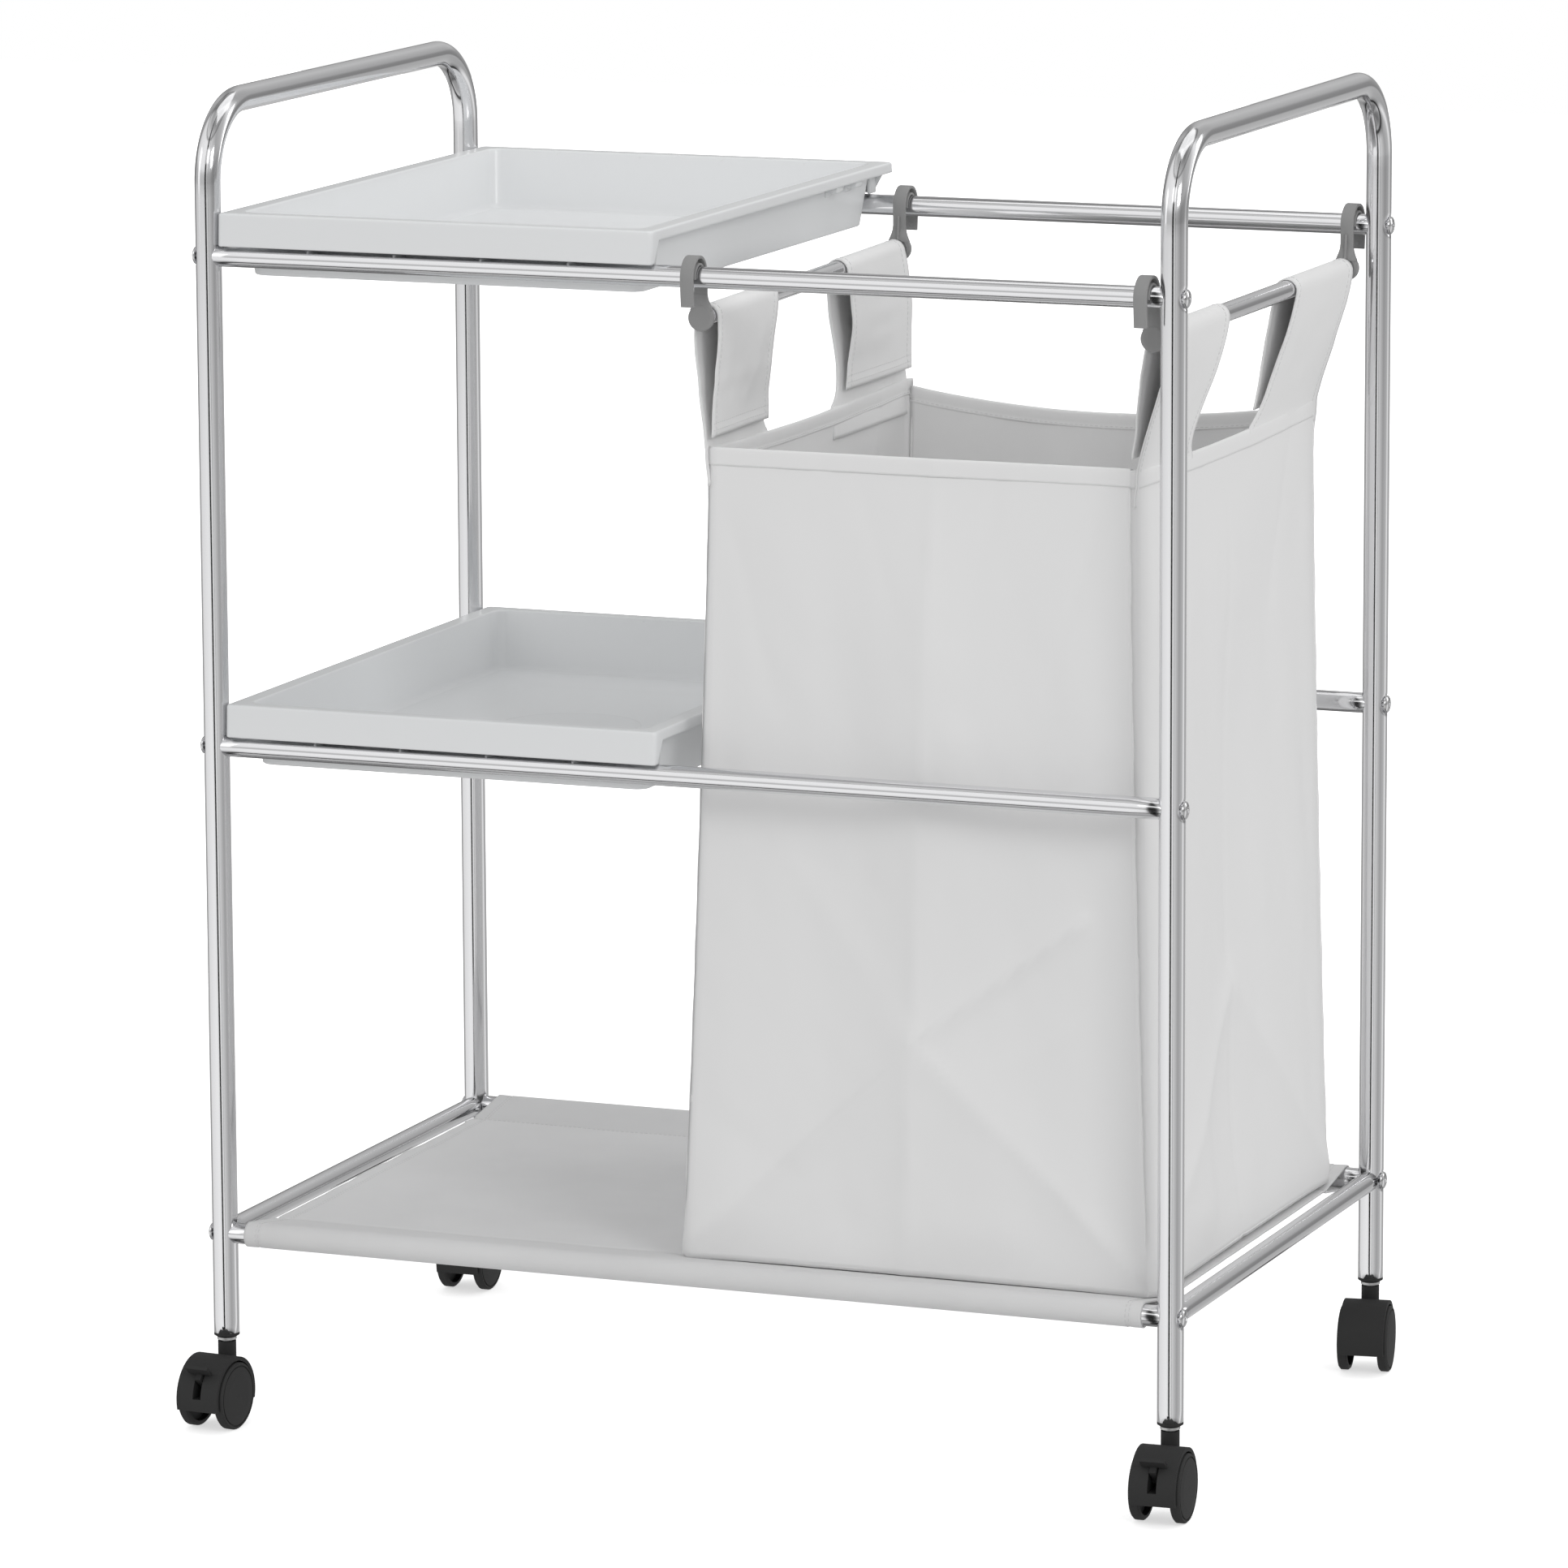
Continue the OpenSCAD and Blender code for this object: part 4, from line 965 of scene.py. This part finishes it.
def tube_points(path, radius, around=12, closed=False):
    """Round tube along a path, in frames turned from the upright."""
    path = np.asarray(path, float)
    along = np.gradient(path, axis=0)
    if closed:
        along[0] = along[-1] = path[1] - path[-2]
    along /= np.maximum(np.linalg.norm(along, axis=1, keepdims=True), 1e-9)
    side = np.cross(along, np.broadcast_to([0, 0, 1.0], along.shape))
    weak = np.linalg.norm(side, axis=1) < 0.2
    side[weak] = np.cross(along[weak], [1.0, 0, 0])
    side /= np.linalg.norm(side, axis=1, keepdims=True)
    other = np.cross(side, along)
    c, s = ring_xy(around)
    return path[:, None] + radius * (c[:, None] * side[:, None] + s[:, None] * other[:, None])


def strap_surface(side, end, seed):
    """Strap: up from the bag's side, over the rod and down to a free end; it changes width below the rod."""
    rod, _, middle, _ = hanger_frame(side)
    share_y, s = np.linspace(0, 1, 33), np.linspace(0, 1, 87)
    w, t = np.meshgrid(share_y, s, indexing="ij")
    r = ROD_R + 0.9
    foot = BAG["x"] + side * (BAG["top_w"] / 2 - 0.6)
    low, free = BAG["hem"] - 26.0, BAG["hem"] + 9.0
    up = np.clip(t / ROD_MET, 0, 1)
    down = np.clip((t - ROD_LEFT) / (1 - ROD_LEFT), 0, 1)
    over = np.pi * np.clip((t - ROD_MET) / (ROD_LEFT - ROD_MET), 0, 1)
    z = np.where(t < ROD_MET, low + (ROD_Z - low) * up, np.where(t < ROD_LEFT, ROD_Z + r * np.sin(over),
                                                              ROD_Z + (free - ROD_Z) * down))
    height = np.clip((z - BAG["hem"]) / (ROD_Z - BAG["hem"]), 0, 1)
    edge = 204.0 - 3.5 * (1 - height)
    hand = (78.0 + 17.0 * (1 - height) ** 1.3 if end < 0 else 75.0 - 11.0 * (1 - height) ** 1.3)
    curl = 20.0 if end > 0 else 13.0
    hand = hand - curl * np.exp(-np.clip(z - BAG["hem"] + 2, 0, None) / 9.0) * (t < ROD_MET)
    hand = hand + 6.0 * np.sin(np.pi * down) * (t > ROD_LEFT)
    y = end * (edge + (hand - edge) * w)
    rod_x = middle[0] + rod[0] / rod[1] * y
    gap = 1.0 + (r - 1.0) * smooth(-0.05, 1.0, height)
    line = foot + (rod_x - foot) * height ** 1.08
    seed_wave = lattice_noise(w * 3.1 + seed, t * 5.0, seed)
    slack = np.sin(np.pi * height) ** 0.8
    outer = line + side * (gap + slack * (1.8 + 1.3 * seed_wave) - 2.0 * smooth(BAG["hem"] - 4, low, z))
    around = rod_x + side * r * np.cos(over)
    inner = line - side * (gap + slack * (1.4 - 1.5 * seed_wave) + 1.2 * smooth(0.75, 1.0, down))
    x = np.where(t < ROD_MET, outer, np.where(t < ROD_LEFT, around, inner))
    fine = lattice_noise(w * 9 + seed, t * 13, seed + 5) * 0.45
    fine = fine + lattice_noise(w * 2.2, t * 21, seed + 6) * 0.35
    x = x + side * fine * np.maximum(slack, 0.1) * (1 - np.sin(over) ** 0.5 * 0.8)
    bind = smooth(0.055, 0.045, w) + smooth(0.945, 0.955, w) + smooth(0.93, 0.94, down) * (t > ROD_LEFT)
    x = x + np.where(t < 0.52, side, -side) * 0.5 * np.clip(bind, 0, 1) * (1 - np.sin(over))
    return np.stack([x, y, z], -1)


def strap(side, end, name, seed):
    """One strap, with thread along its turned edges and two rows across its free end."""
    p = bpy.context.scene.laundry_sorter
    P = strap_surface(side, end, seed)
    b = Builder()
    b.cloth(P, 1.2)
    obj = b.mesh(name + "_cloth", material("white_cloth"), "hamper", "white_cloth", (name,))
    normal = grid_normals(P, False)
    if normal[15, 20, 0] * side < 0:
        normal = -normal
    lift = normal * 0.68
    step = p.stitch_length / MM
    thread = Builder()
    lines = [(P[row] + lift[row], normal[row]) for row in (2, 30)]
    lines += [(P[:, col] + lift[:, col], normal[:, col]) for col in (82, 84)]
    for line, facing in lines:
        thread.sew(line, facing, step, 0.45)
    threads = thread.mesh(name + "_thread", material("thread"), "hamper", "white_cloth")


def shelf_section(y_steps=110):
    """Section of the shelf: seam, under and over the front rail, across, over and under the rear rail."""
    z = RAIL_LEVELS["bottom"]
    r = RAIL_R + 0.95
    reach = SHELF_SLEEVE
    seam = np.array([-POST_Y + reach, z - 1.1])
    wrap = math.acos(r / reach)
    turns = np.linspace(2 * math.pi - wrap, wrap, 40)
    arc = [(-POST_Y + r * math.cos(a), z + r * math.sin(a)) for a in turns]
    under = [tuple(seam + (np.array(arc[0]) - seam) * k) for k in np.linspace(0, 1, 12)[:-1]]
    start = np.array(arc[-1])
    stop = np.array([-POST_Y + reach, z + 0.9])
    over = [tuple(start + (stop - start) * k) for k in np.linspace(0, 1, 14)[1:]]
    half = under + arc + over
    across = [(y, z + 0.9) for y in np.linspace(-POST_Y + reach, POST_Y - reach, y_steps)[1:-1]]
    return np.array(half + across + [(-a, b) for a, b in half[::-1]])


def shelf():
    """Shelf cloth: its section along X, sagging a little between the rails, ruffled along its side hems."""
    p = bpy.context.scene.laundry_sorter
    half = POST_X - POST_R - 10.0
    xs = dense_line(-half, half, 7.0, (-half + 6, half - 6), 8.0, 1.6)
    section = shelf_section()
    P = np.zeros((len(xs), len(section), 3))
    P[..., 0] = xs[:, None]
    P[..., 1], P[..., 2] = section[:, 0], section[:, 1]
    top = (section[:, 1] > RAIL_LEVELS["bottom"] - 0.5) & (np.abs(section[:, 0]) < POST_Y - 12)
    span = np.cos(np.pi * np.clip(section[:, 0] / (2 * (POST_Y - 12)), -0.5, 0.5))
    under_bag = smooth(-40, 10, xs)
    sag = -1.4 * np.sin(np.pi * (xs + half) / (2 * half)) ** 0.5
    ripple = lattice_noise(*np.meshgrid(xs / 46.0, section[:, 0] / 90.0, indexing="ij"), 3) * 1.0
    ripple += lattice_noise(*np.meshgrid(xs / 130.0, section[:, 0] / 17.0, indexing="ij"), 4) * 0.55
    calm = 1 - 0.75 * under_bag[:, None]
    P[..., 2] += np.where(top, span * (sag[:, None] - 0.2) + ripple * span * calm, 0)
    seam = np.exp(-((np.abs(section[:, 0]) - (POST_Y - SHELF_SLEEVE)) / 2.2) ** 2) * top
    P[..., 2] -= 0.8 * seam
    hem = np.exp(-((half - np.abs(xs) - 10.0) / 1.6) ** 2)
    normal = grid_normals(P, False)
    if normal[len(xs) // 2, len(section) // 2, 2] < 0:
        normal = -normal
    P = P - normal * (0.45 * hem)[:, None, None]
    b = Builder()
    b.cloth(P, 1.3, flip=True)
    obj = b.mesh("shelf_cloth", material("shelf_cloth"), "frame", "white_cloth", ("shelf_fabric",))
    lift = normal * 0.72
    step = p.stitch_length / MM
    thread = Builder()
    for d in (9.0, 11.6):
        for sign in (-1, 1):
            row = int(np.argmin(np.abs(xs - sign * (half - d))))
            line = P[row] + lift[row]
            line[:, 0] = sign * (half - d)
            thread.sew(line, normal[row], step, 0.5)
    for sign in (-1, 1):
        wanted = np.where(top & (np.sign(section[:, 0]) == sign))[0]
        col = wanted[np.argmin(np.abs(np.abs(section[wanted, 0]) - (POST_Y - SHELF_SLEEVE)))]
        thread.sew(P[:, col] + lift[:, col], normal[:, col], step, 0.5)
    threads = thread.mesh("shelf_thread", material("thread"), "frame", "white_cloth")


# ---------------------------------------------------------------- settings, stage and operators

# What plated metal mirrors: (share of the way round or up, brightness). 0.5 is straight ahead, and level.
BEARING_BANDS = ((0.0, 0.60), (0.055, 0.50), (0.09, 0.30), (0.13, 0.50), (0.20, 0.30), (0.24, 0.85),
                 (0.44, 1.0), (0.492, 0.95), (0.500, 0.01), (0.530, 0.01), (0.540, 0.95), (0.566, 0.9),
                 (0.574, 0.15), (0.582, 0.75), (0.70, 0.42), (0.80, 0.55), (0.845, 1.0), (0.89, 0.42),
                 (0.94, 0.46), (1.0, 0.60))
RISE_BANDS = ((0.0, 0.35), (0.15, 0.45), (0.195, 0.75), (0.207, 0.05), (0.235, 0.03), (0.248, 0.6),
              (0.31, 1.0), (0.455, 1.0), (0.475, 0.55), (0.535, 0.62), (0.57, 0.95), (0.66, 1.0),
              (0.76, 1.0), (0.775, 0.12), (0.79, 0.8), (0.88, 0.45), (1.0, 0.6))

# The studio's lamps: name, place, target, size, and share of the light's power
LAMPS = (
    ("key", (2.9, -2.4, 2.4), (0, 0, 0.5), (1.2, 1.2), 2.5),
    ("fill", (-3.2, -2.2, 1.6), (0, 0, 0.5), (1.2, 2.2), 0.45),
    ("top", (0.2, 0.4, 3.2), (0, 0, 0.5), (2.0, 2.0), 0.9),
    ("front", (0.5, -3.0, 2.5), (0.2, 0, 0.6), (1.6, 1.0), 0.35),
    ("rim", (2.6, 2.2, 1.8), (0, 0, 0.5), (0.8, 2.0), 0.6),
)

# Half the floor's side, in metres
FLOOR_HALF = 9.0

# Where the camera stands: degrees round from the front, up and rolled; the point it looks at; how far off
CAMERA_TURN = (21.80, 10.44, -0.275)
CAMERA_TARGET, CAMERA_AWAY = (-0.0153, 0, 0.4643), 6.367


class LaundrySorterSettings(bpy.types.PropertyGroup):
    chrome_colour: bpy.props.FloatVectorProperty(
        name="Chrome", description="Colour of the plated tubes",
        default=(0.86, 0.865, 0.87), min=0, max=1, subtype="COLOR")
    chrome_roughness: bpy.props.FloatProperty(
        name="Chrome roughness", description="How dull the plating is",
        default=0.055, min=0, max=1)
    cloth_colour: bpy.props.FloatVectorProperty(
        name="Cloth", description="Colour of bag, straps and shelf",
        default=(0.87, 0.87, 0.872), min=0, max=1, subtype="COLOR")
    tray_colour: bpy.props.FloatVectorProperty(
        name="Trays", description="Colour of the moulded trays",
        default=(0.82, 0.825, 0.83), min=0, max=1, subtype="COLOR")
    hook_colour: bpy.props.FloatVectorProperty(
        name="Hooks", description="Colour of the hooks",
        default=(0.23, 0.23, 0.235), min=0, max=1, subtype="COLOR")
    caster_colour: bpy.props.FloatVectorProperty(
        name="Casters", description="Colour of casters and plugs",
        default=(0.006, 0.006, 0.006), min=0, max=1, subtype="COLOR")
    weave_pitch: bpy.props.FloatProperty(
        name="Weave pitch", description="Distance between threads of the cloth",
        default=0.0011, min=0.0003, max=0.004, unit="LENGTH")
    hem_depth: bpy.props.FloatProperty(
        name="Hem depth", description="Height of the band at the bag's mouth",
        default=0.012, min=0.006, max=0.03, unit="LENGTH")
    stitch_length: bpy.props.FloatProperty(
        name="Stitch length", description="Length of one stitch",
        default=0.0032, min=0.0015, max=0.008, unit="LENGTH")
    light_power: bpy.props.FloatProperty(
        name="Light", description="Strength of the studio light, in watts",
        default=11.0, min=0, max=2000)
    room_light: bpy.props.FloatProperty(
        name="Room light", description="Strength of the white room's soft light",
        default=0.66, min=0, max=5)


class LAUNDRY_OT_frame(bpy.types.Operator):
    """Smooth plated tubes in place of the frame's tubes, and the screws' heads"""
    bl_idname = "laundry.frame"
    bl_label = "Frame tubes"

    def execute(self, context):
        for side, name in ((-1, "left"), (1, "right")):
            b = Builder()
            b.grid(side_frame(side), wrap=True, flip=True)
            b.mesh(name + "_frame_tube", material("chrome_tube"), "frame", "chrome_tube",
                   (name + "_side_frame",))
            b = Builder()
            b.grid(coped(POST_Y, RAIL_LEVELS["bottom"], side * POST_X, True, side_cope), wrap=True)
            b.mesh(name + "_side_rail_tube", material("chrome_tube"), "frame", "chrome_tube",
                   (name + "_bottom_side_rail",))
        for level, z in RAIL_LEVELS.items():
            for end, where in ((-1, "front"), (1, "rear")):
                b = Builder()
                b.grid(coped(POST_X, z, end * POST_Y, False, post_cope), wrap=True, flip=True)
                b.mesh(f"{level}_{where}_rail_tube", material("chrome_tube"), "frame", "chrome_tube",
                       (f"{level}_{where}_rail",))
        screw_heads().mesh("screw_heads", material("screw_steel"), "frame", "screw_steel", ("frame_screws",))
        return {"FINISHED"}


class LAUNDRY_OT_trays(bpy.types.Operator):
    """The two moulded trays"""
    bl_idname = "laundry.trays"
    bl_label = "Trays"

    def execute(self, context):
        tray("upper_tray", RAIL_LEVELS["top"] + TRAY_SEAT)
        tray("lower_tray", RAIL_LEVELS["middle"] + TRAY_SEAT)
        return {"FINISHED"}


class LAUNDRY_OT_hangers(bpy.types.Operator):
    """Hooks and rods that carry the bag"""
    bl_idname = "laundry.hangers"
    bl_label = "Hooks and rods"

    def execute(self, context):
        for side, name in ((-1, "left"), (1, "right")):
            b = Builder()
            b.grid(rod_surface(side), wrap=True, flip=True)
            b.mesh(name + "_rod_tube", material("chrome_tube"), "hamper", "chrome_tube",
                   (name + "_hanger_rod",))
            for end, where in ((-1, "front"), (1, "rear")):
                hook = f"{name}_{where}_hook"
                hook_builder(side, end).mesh(hook + "_moulding", material("grey_plastic"), "hamper",
                                             "grey_plastic", (hook,))
        return {"FINISHED"}


class LAUNDRY_OT_bag(bpy.types.Operator):
    """The hanging bag with its hem, seams, straps and stitching"""
    bl_idname = "laundry.bag"
    bl_label = "Bag"

    def execute(self, context):
        body, side = bag_body()
        hem, thread = bag_hem(side)
        threads = thread.mesh("bag_thread", material("thread"), "hamper", "white_cloth")
        seams = bag_seams(side)
        for k, (side, end, name) in enumerate(((-1, -1, "left_front_strap"), (-1, 1, "left_rear_strap"),
                                               (1, -1, "right_front_strap"), (1, 1, "right_rear_strap"))):
            strap(side, end, name, 21 + k)
        return {"FINISHED"}


class LAUNDRY_OT_shelf(bpy.types.Operator):
    """The cloth shelf over the bottom rails"""
    bl_idname = "laundry.shelf"
    bl_label = "Shelf"

    def execute(self, context):
        shelf()
        return {"FINISHED"}


class LAUNDRY_OT_casters(bpy.types.Operator):
    """Finishes of the casters, plugs, levers and every other measured part that stays"""
    bl_idname = "laundry.casters"
    bl_label = "Casters"

    def execute(self, context):
        slots = {row["node"]: row["material_slot"] for row in frame["record"]["subparts"]}
        for node, obj in frame["nodes"].items():
            obj.data.materials.clear()
            obj.data.materials.append(material(slots[node]))
        return {"FINISHED"}


def aim(obj, place, target):
    """Turns a light at place to face the target."""
    obj.location = place
    obj.rotation_euler = (Vector(target) - Vector(place)).to_track_quat("-Z", "Y").to_euler()


def studio_world(scene):
    """White room: plain for the camera and for soft light; what shines mirrors it with a few dark upright and
    level bands, as light stands and dark card do in a studio."""
    world = bpy.data.worlds.new("studio")
    scene.world = world
    world.use_nodes = True
    tree = world.node_tree
    tree.nodes.clear()
    new, link = tree.nodes.new, tree.links.new

    def math_node(operation, a, b=0.0):
        made = new("ShaderNodeMath")
        made.operation = operation
        for socket, value in zip(made.inputs, (a, b)):
            if isinstance(value, bpy.types.NodeSocket):
                link(value, socket)
            else:
                socket.default_value = value
        return made.outputs[0]

    def ramp(factor, stops):
        made = new("ShaderNodeValToRGB")
        link(factor, made.inputs["Fac"])
        marks = made.color_ramp.elements
        while len(marks) < len(stops):
            marks.new(0.5)
        for mark, (place, value) in zip(marks, stops):
            mark.position, mark.color = place, (value, value, value, 1)
        return made.outputs["Color"]

    split = new("ShaderNodeSeparateXYZ")
    link(new("ShaderNodeTexCoord").outputs["Generated"], split.inputs[0])
    x, y, z = split.outputs
    bearing = math_node("ARCTAN2", x, math_node("MULTIPLY", y, -1.0))
    bearing = math_node("ADD", math_node("DIVIDE", bearing, 2 * math.pi), 0.5)
    rise = math_node("ADD", math_node("DIVIDE", math_node("ARCSINE", z), math.pi), 0.5)
    round_about = ramp(bearing, BEARING_BANDS)
    up_down = ramp(rise, RISE_BANDS)
    mirror = new("ShaderNodeMix")
    mirror.data_type, mirror.blend_type = "RGBA", "MULTIPLY"
    mirror.inputs["Factor"].default_value = 1.0
    link(round_about, mirror.inputs["A"])
    link(up_down, mirror.inputs["B"])
    path = new("ShaderNodeLightPath")

    def shine(colour, strength):
        made = new("ShaderNodeBackground")
        made.inputs["Strength"].default_value = strength
        if isinstance(colour, bpy.types.NodeSocket):
            link(colour, made.inputs["Color"])
        else:
            made.inputs["Color"].default_value = (*colour, 1)
        return made.outputs[0]

    def choose(factor, first, second):
        made = new("ShaderNodeMixShader")
        link(factor, made.inputs[0])
        link(first, made.inputs[1])
        link(second, made.inputs[2])
        return made.outputs[0]

    p = scene.laundry_sorter
    soft = shine((1.0, 1.0, 1.0), p.room_light)
    mixed = choose(path.outputs["Is Glossy Ray"], soft, shine(mirror.outputs["Result"], 1.0))
    mixed = choose(path.outputs["Is Camera Ray"], mixed, shine((1.0, 1.0, 1.0), 1.0))
    link(mixed, new("ShaderNodeOutputWorld").inputs["Surface"])


class LAUNDRY_OT_stage(bpy.types.Operator):
    """Pale floor, studio light and the camera"""
    bl_idname = "laundry.stage"
    bl_label = "Stage"

    def execute(self, context):
        p = context.scene.laundry_sorter
        scene = context.scene
        b = FLOOR_HALF
        mesh = bpy.data.meshes.new("floor")
        mesh.from_pydata([(-b, -b, 0), (b, -b, 0), (b, b, 0), (-b, b, 0)], [], [(0, 1, 2, 3)])
        mesh.materials.append(plain_stage("stage_white", 0.92))
        floor = bpy.data.objects.new("floor", mesh)
        scene.collection.objects.link(floor)
        floor.visible_glossy = floor.visible_diffuse = False
        for name, place, target, size, power in LAMPS:
            light = bpy.data.lights.new(name, "AREA")
            light.shape = "RECTANGLE"
            light.size, light.size_y = size
            light.energy = p.light_power * power
            obj = bpy.data.objects.new(name, light)
            scene.collection.objects.link(obj)
            aim(obj, place, target)
        studio_world(scene)
        scene.view_settings.view_transform = "Standard"
        camera = bpy.data.cameras.new("camera")
        camera.sensor_width, camera.lens = 36.0, 196.57
        camera.clip_end = 100
        obj = bpy.data.objects.new("camera", camera)
        scene.collection.objects.link(obj)
        az, el, roll = (math.radians(k) for k in CAMERA_TURN)
        back = Vector((math.sin(az) * math.cos(el), -math.cos(az) * math.cos(el), math.sin(el)))
        level = Vector((math.cos(az), math.sin(az), 0))
        upright = back.cross(level)
        right = level * math.cos(roll) + upright * math.sin(roll)
        up = upright * math.cos(roll) - level * math.sin(roll)
        turn = Matrix((right, up, back)).transposed().to_4x4()
        obj.matrix_world = Matrix.Translation(Vector(CAMERA_TARGET) + back * CAMERA_AWAY) @ turn
        scene.camera = obj
        return {"FINISHED"}


class LAUNDRY_PT_panel(bpy.types.Panel):
    bl_label = "Laundry Sorter"
    bl_idname = "LAUNDRY_PT_panel"
    bl_space_type = "VIEW_3D"
    bl_region_type = "UI"
    bl_category = "Laundry Sorter"

    def draw(self, context):
        for key in LaundrySorterSettings.__annotations__:
            self.layout.prop(context.scene.laundry_sorter, key)
        for operator in OPERATORS:
            self.layout.operator(operator.bl_idname)


OPERATORS = (LAUNDRY_OT_casters, LAUNDRY_OT_frame, LAUNDRY_OT_trays, LAUNDRY_OT_hangers, LAUNDRY_OT_bag,
             LAUNDRY_OT_shelf, LAUNDRY_OT_stage)
CLASSES = (LaundrySorterSettings, *OPERATORS, LAUNDRY_PT_panel)


def register():
    for cls in CLASSES:
        bpy.utils.register_class(cls)
    bpy.types.Scene.laundry_sorter = bpy.props.PointerProperty(type=LaundrySorterSettings)


def unregister():
    del bpy.types.Scene.laundry_sorter
    for cls in reversed(CLASSES):
        bpy.utils.unregister_class(cls)


def main():
    register()
    for operator in OPERATORS:
        group, name = operator.bl_idname.split(".")
        getattr(getattr(bpy.ops, group), name)()


if __name__ == "__main__":
    main()
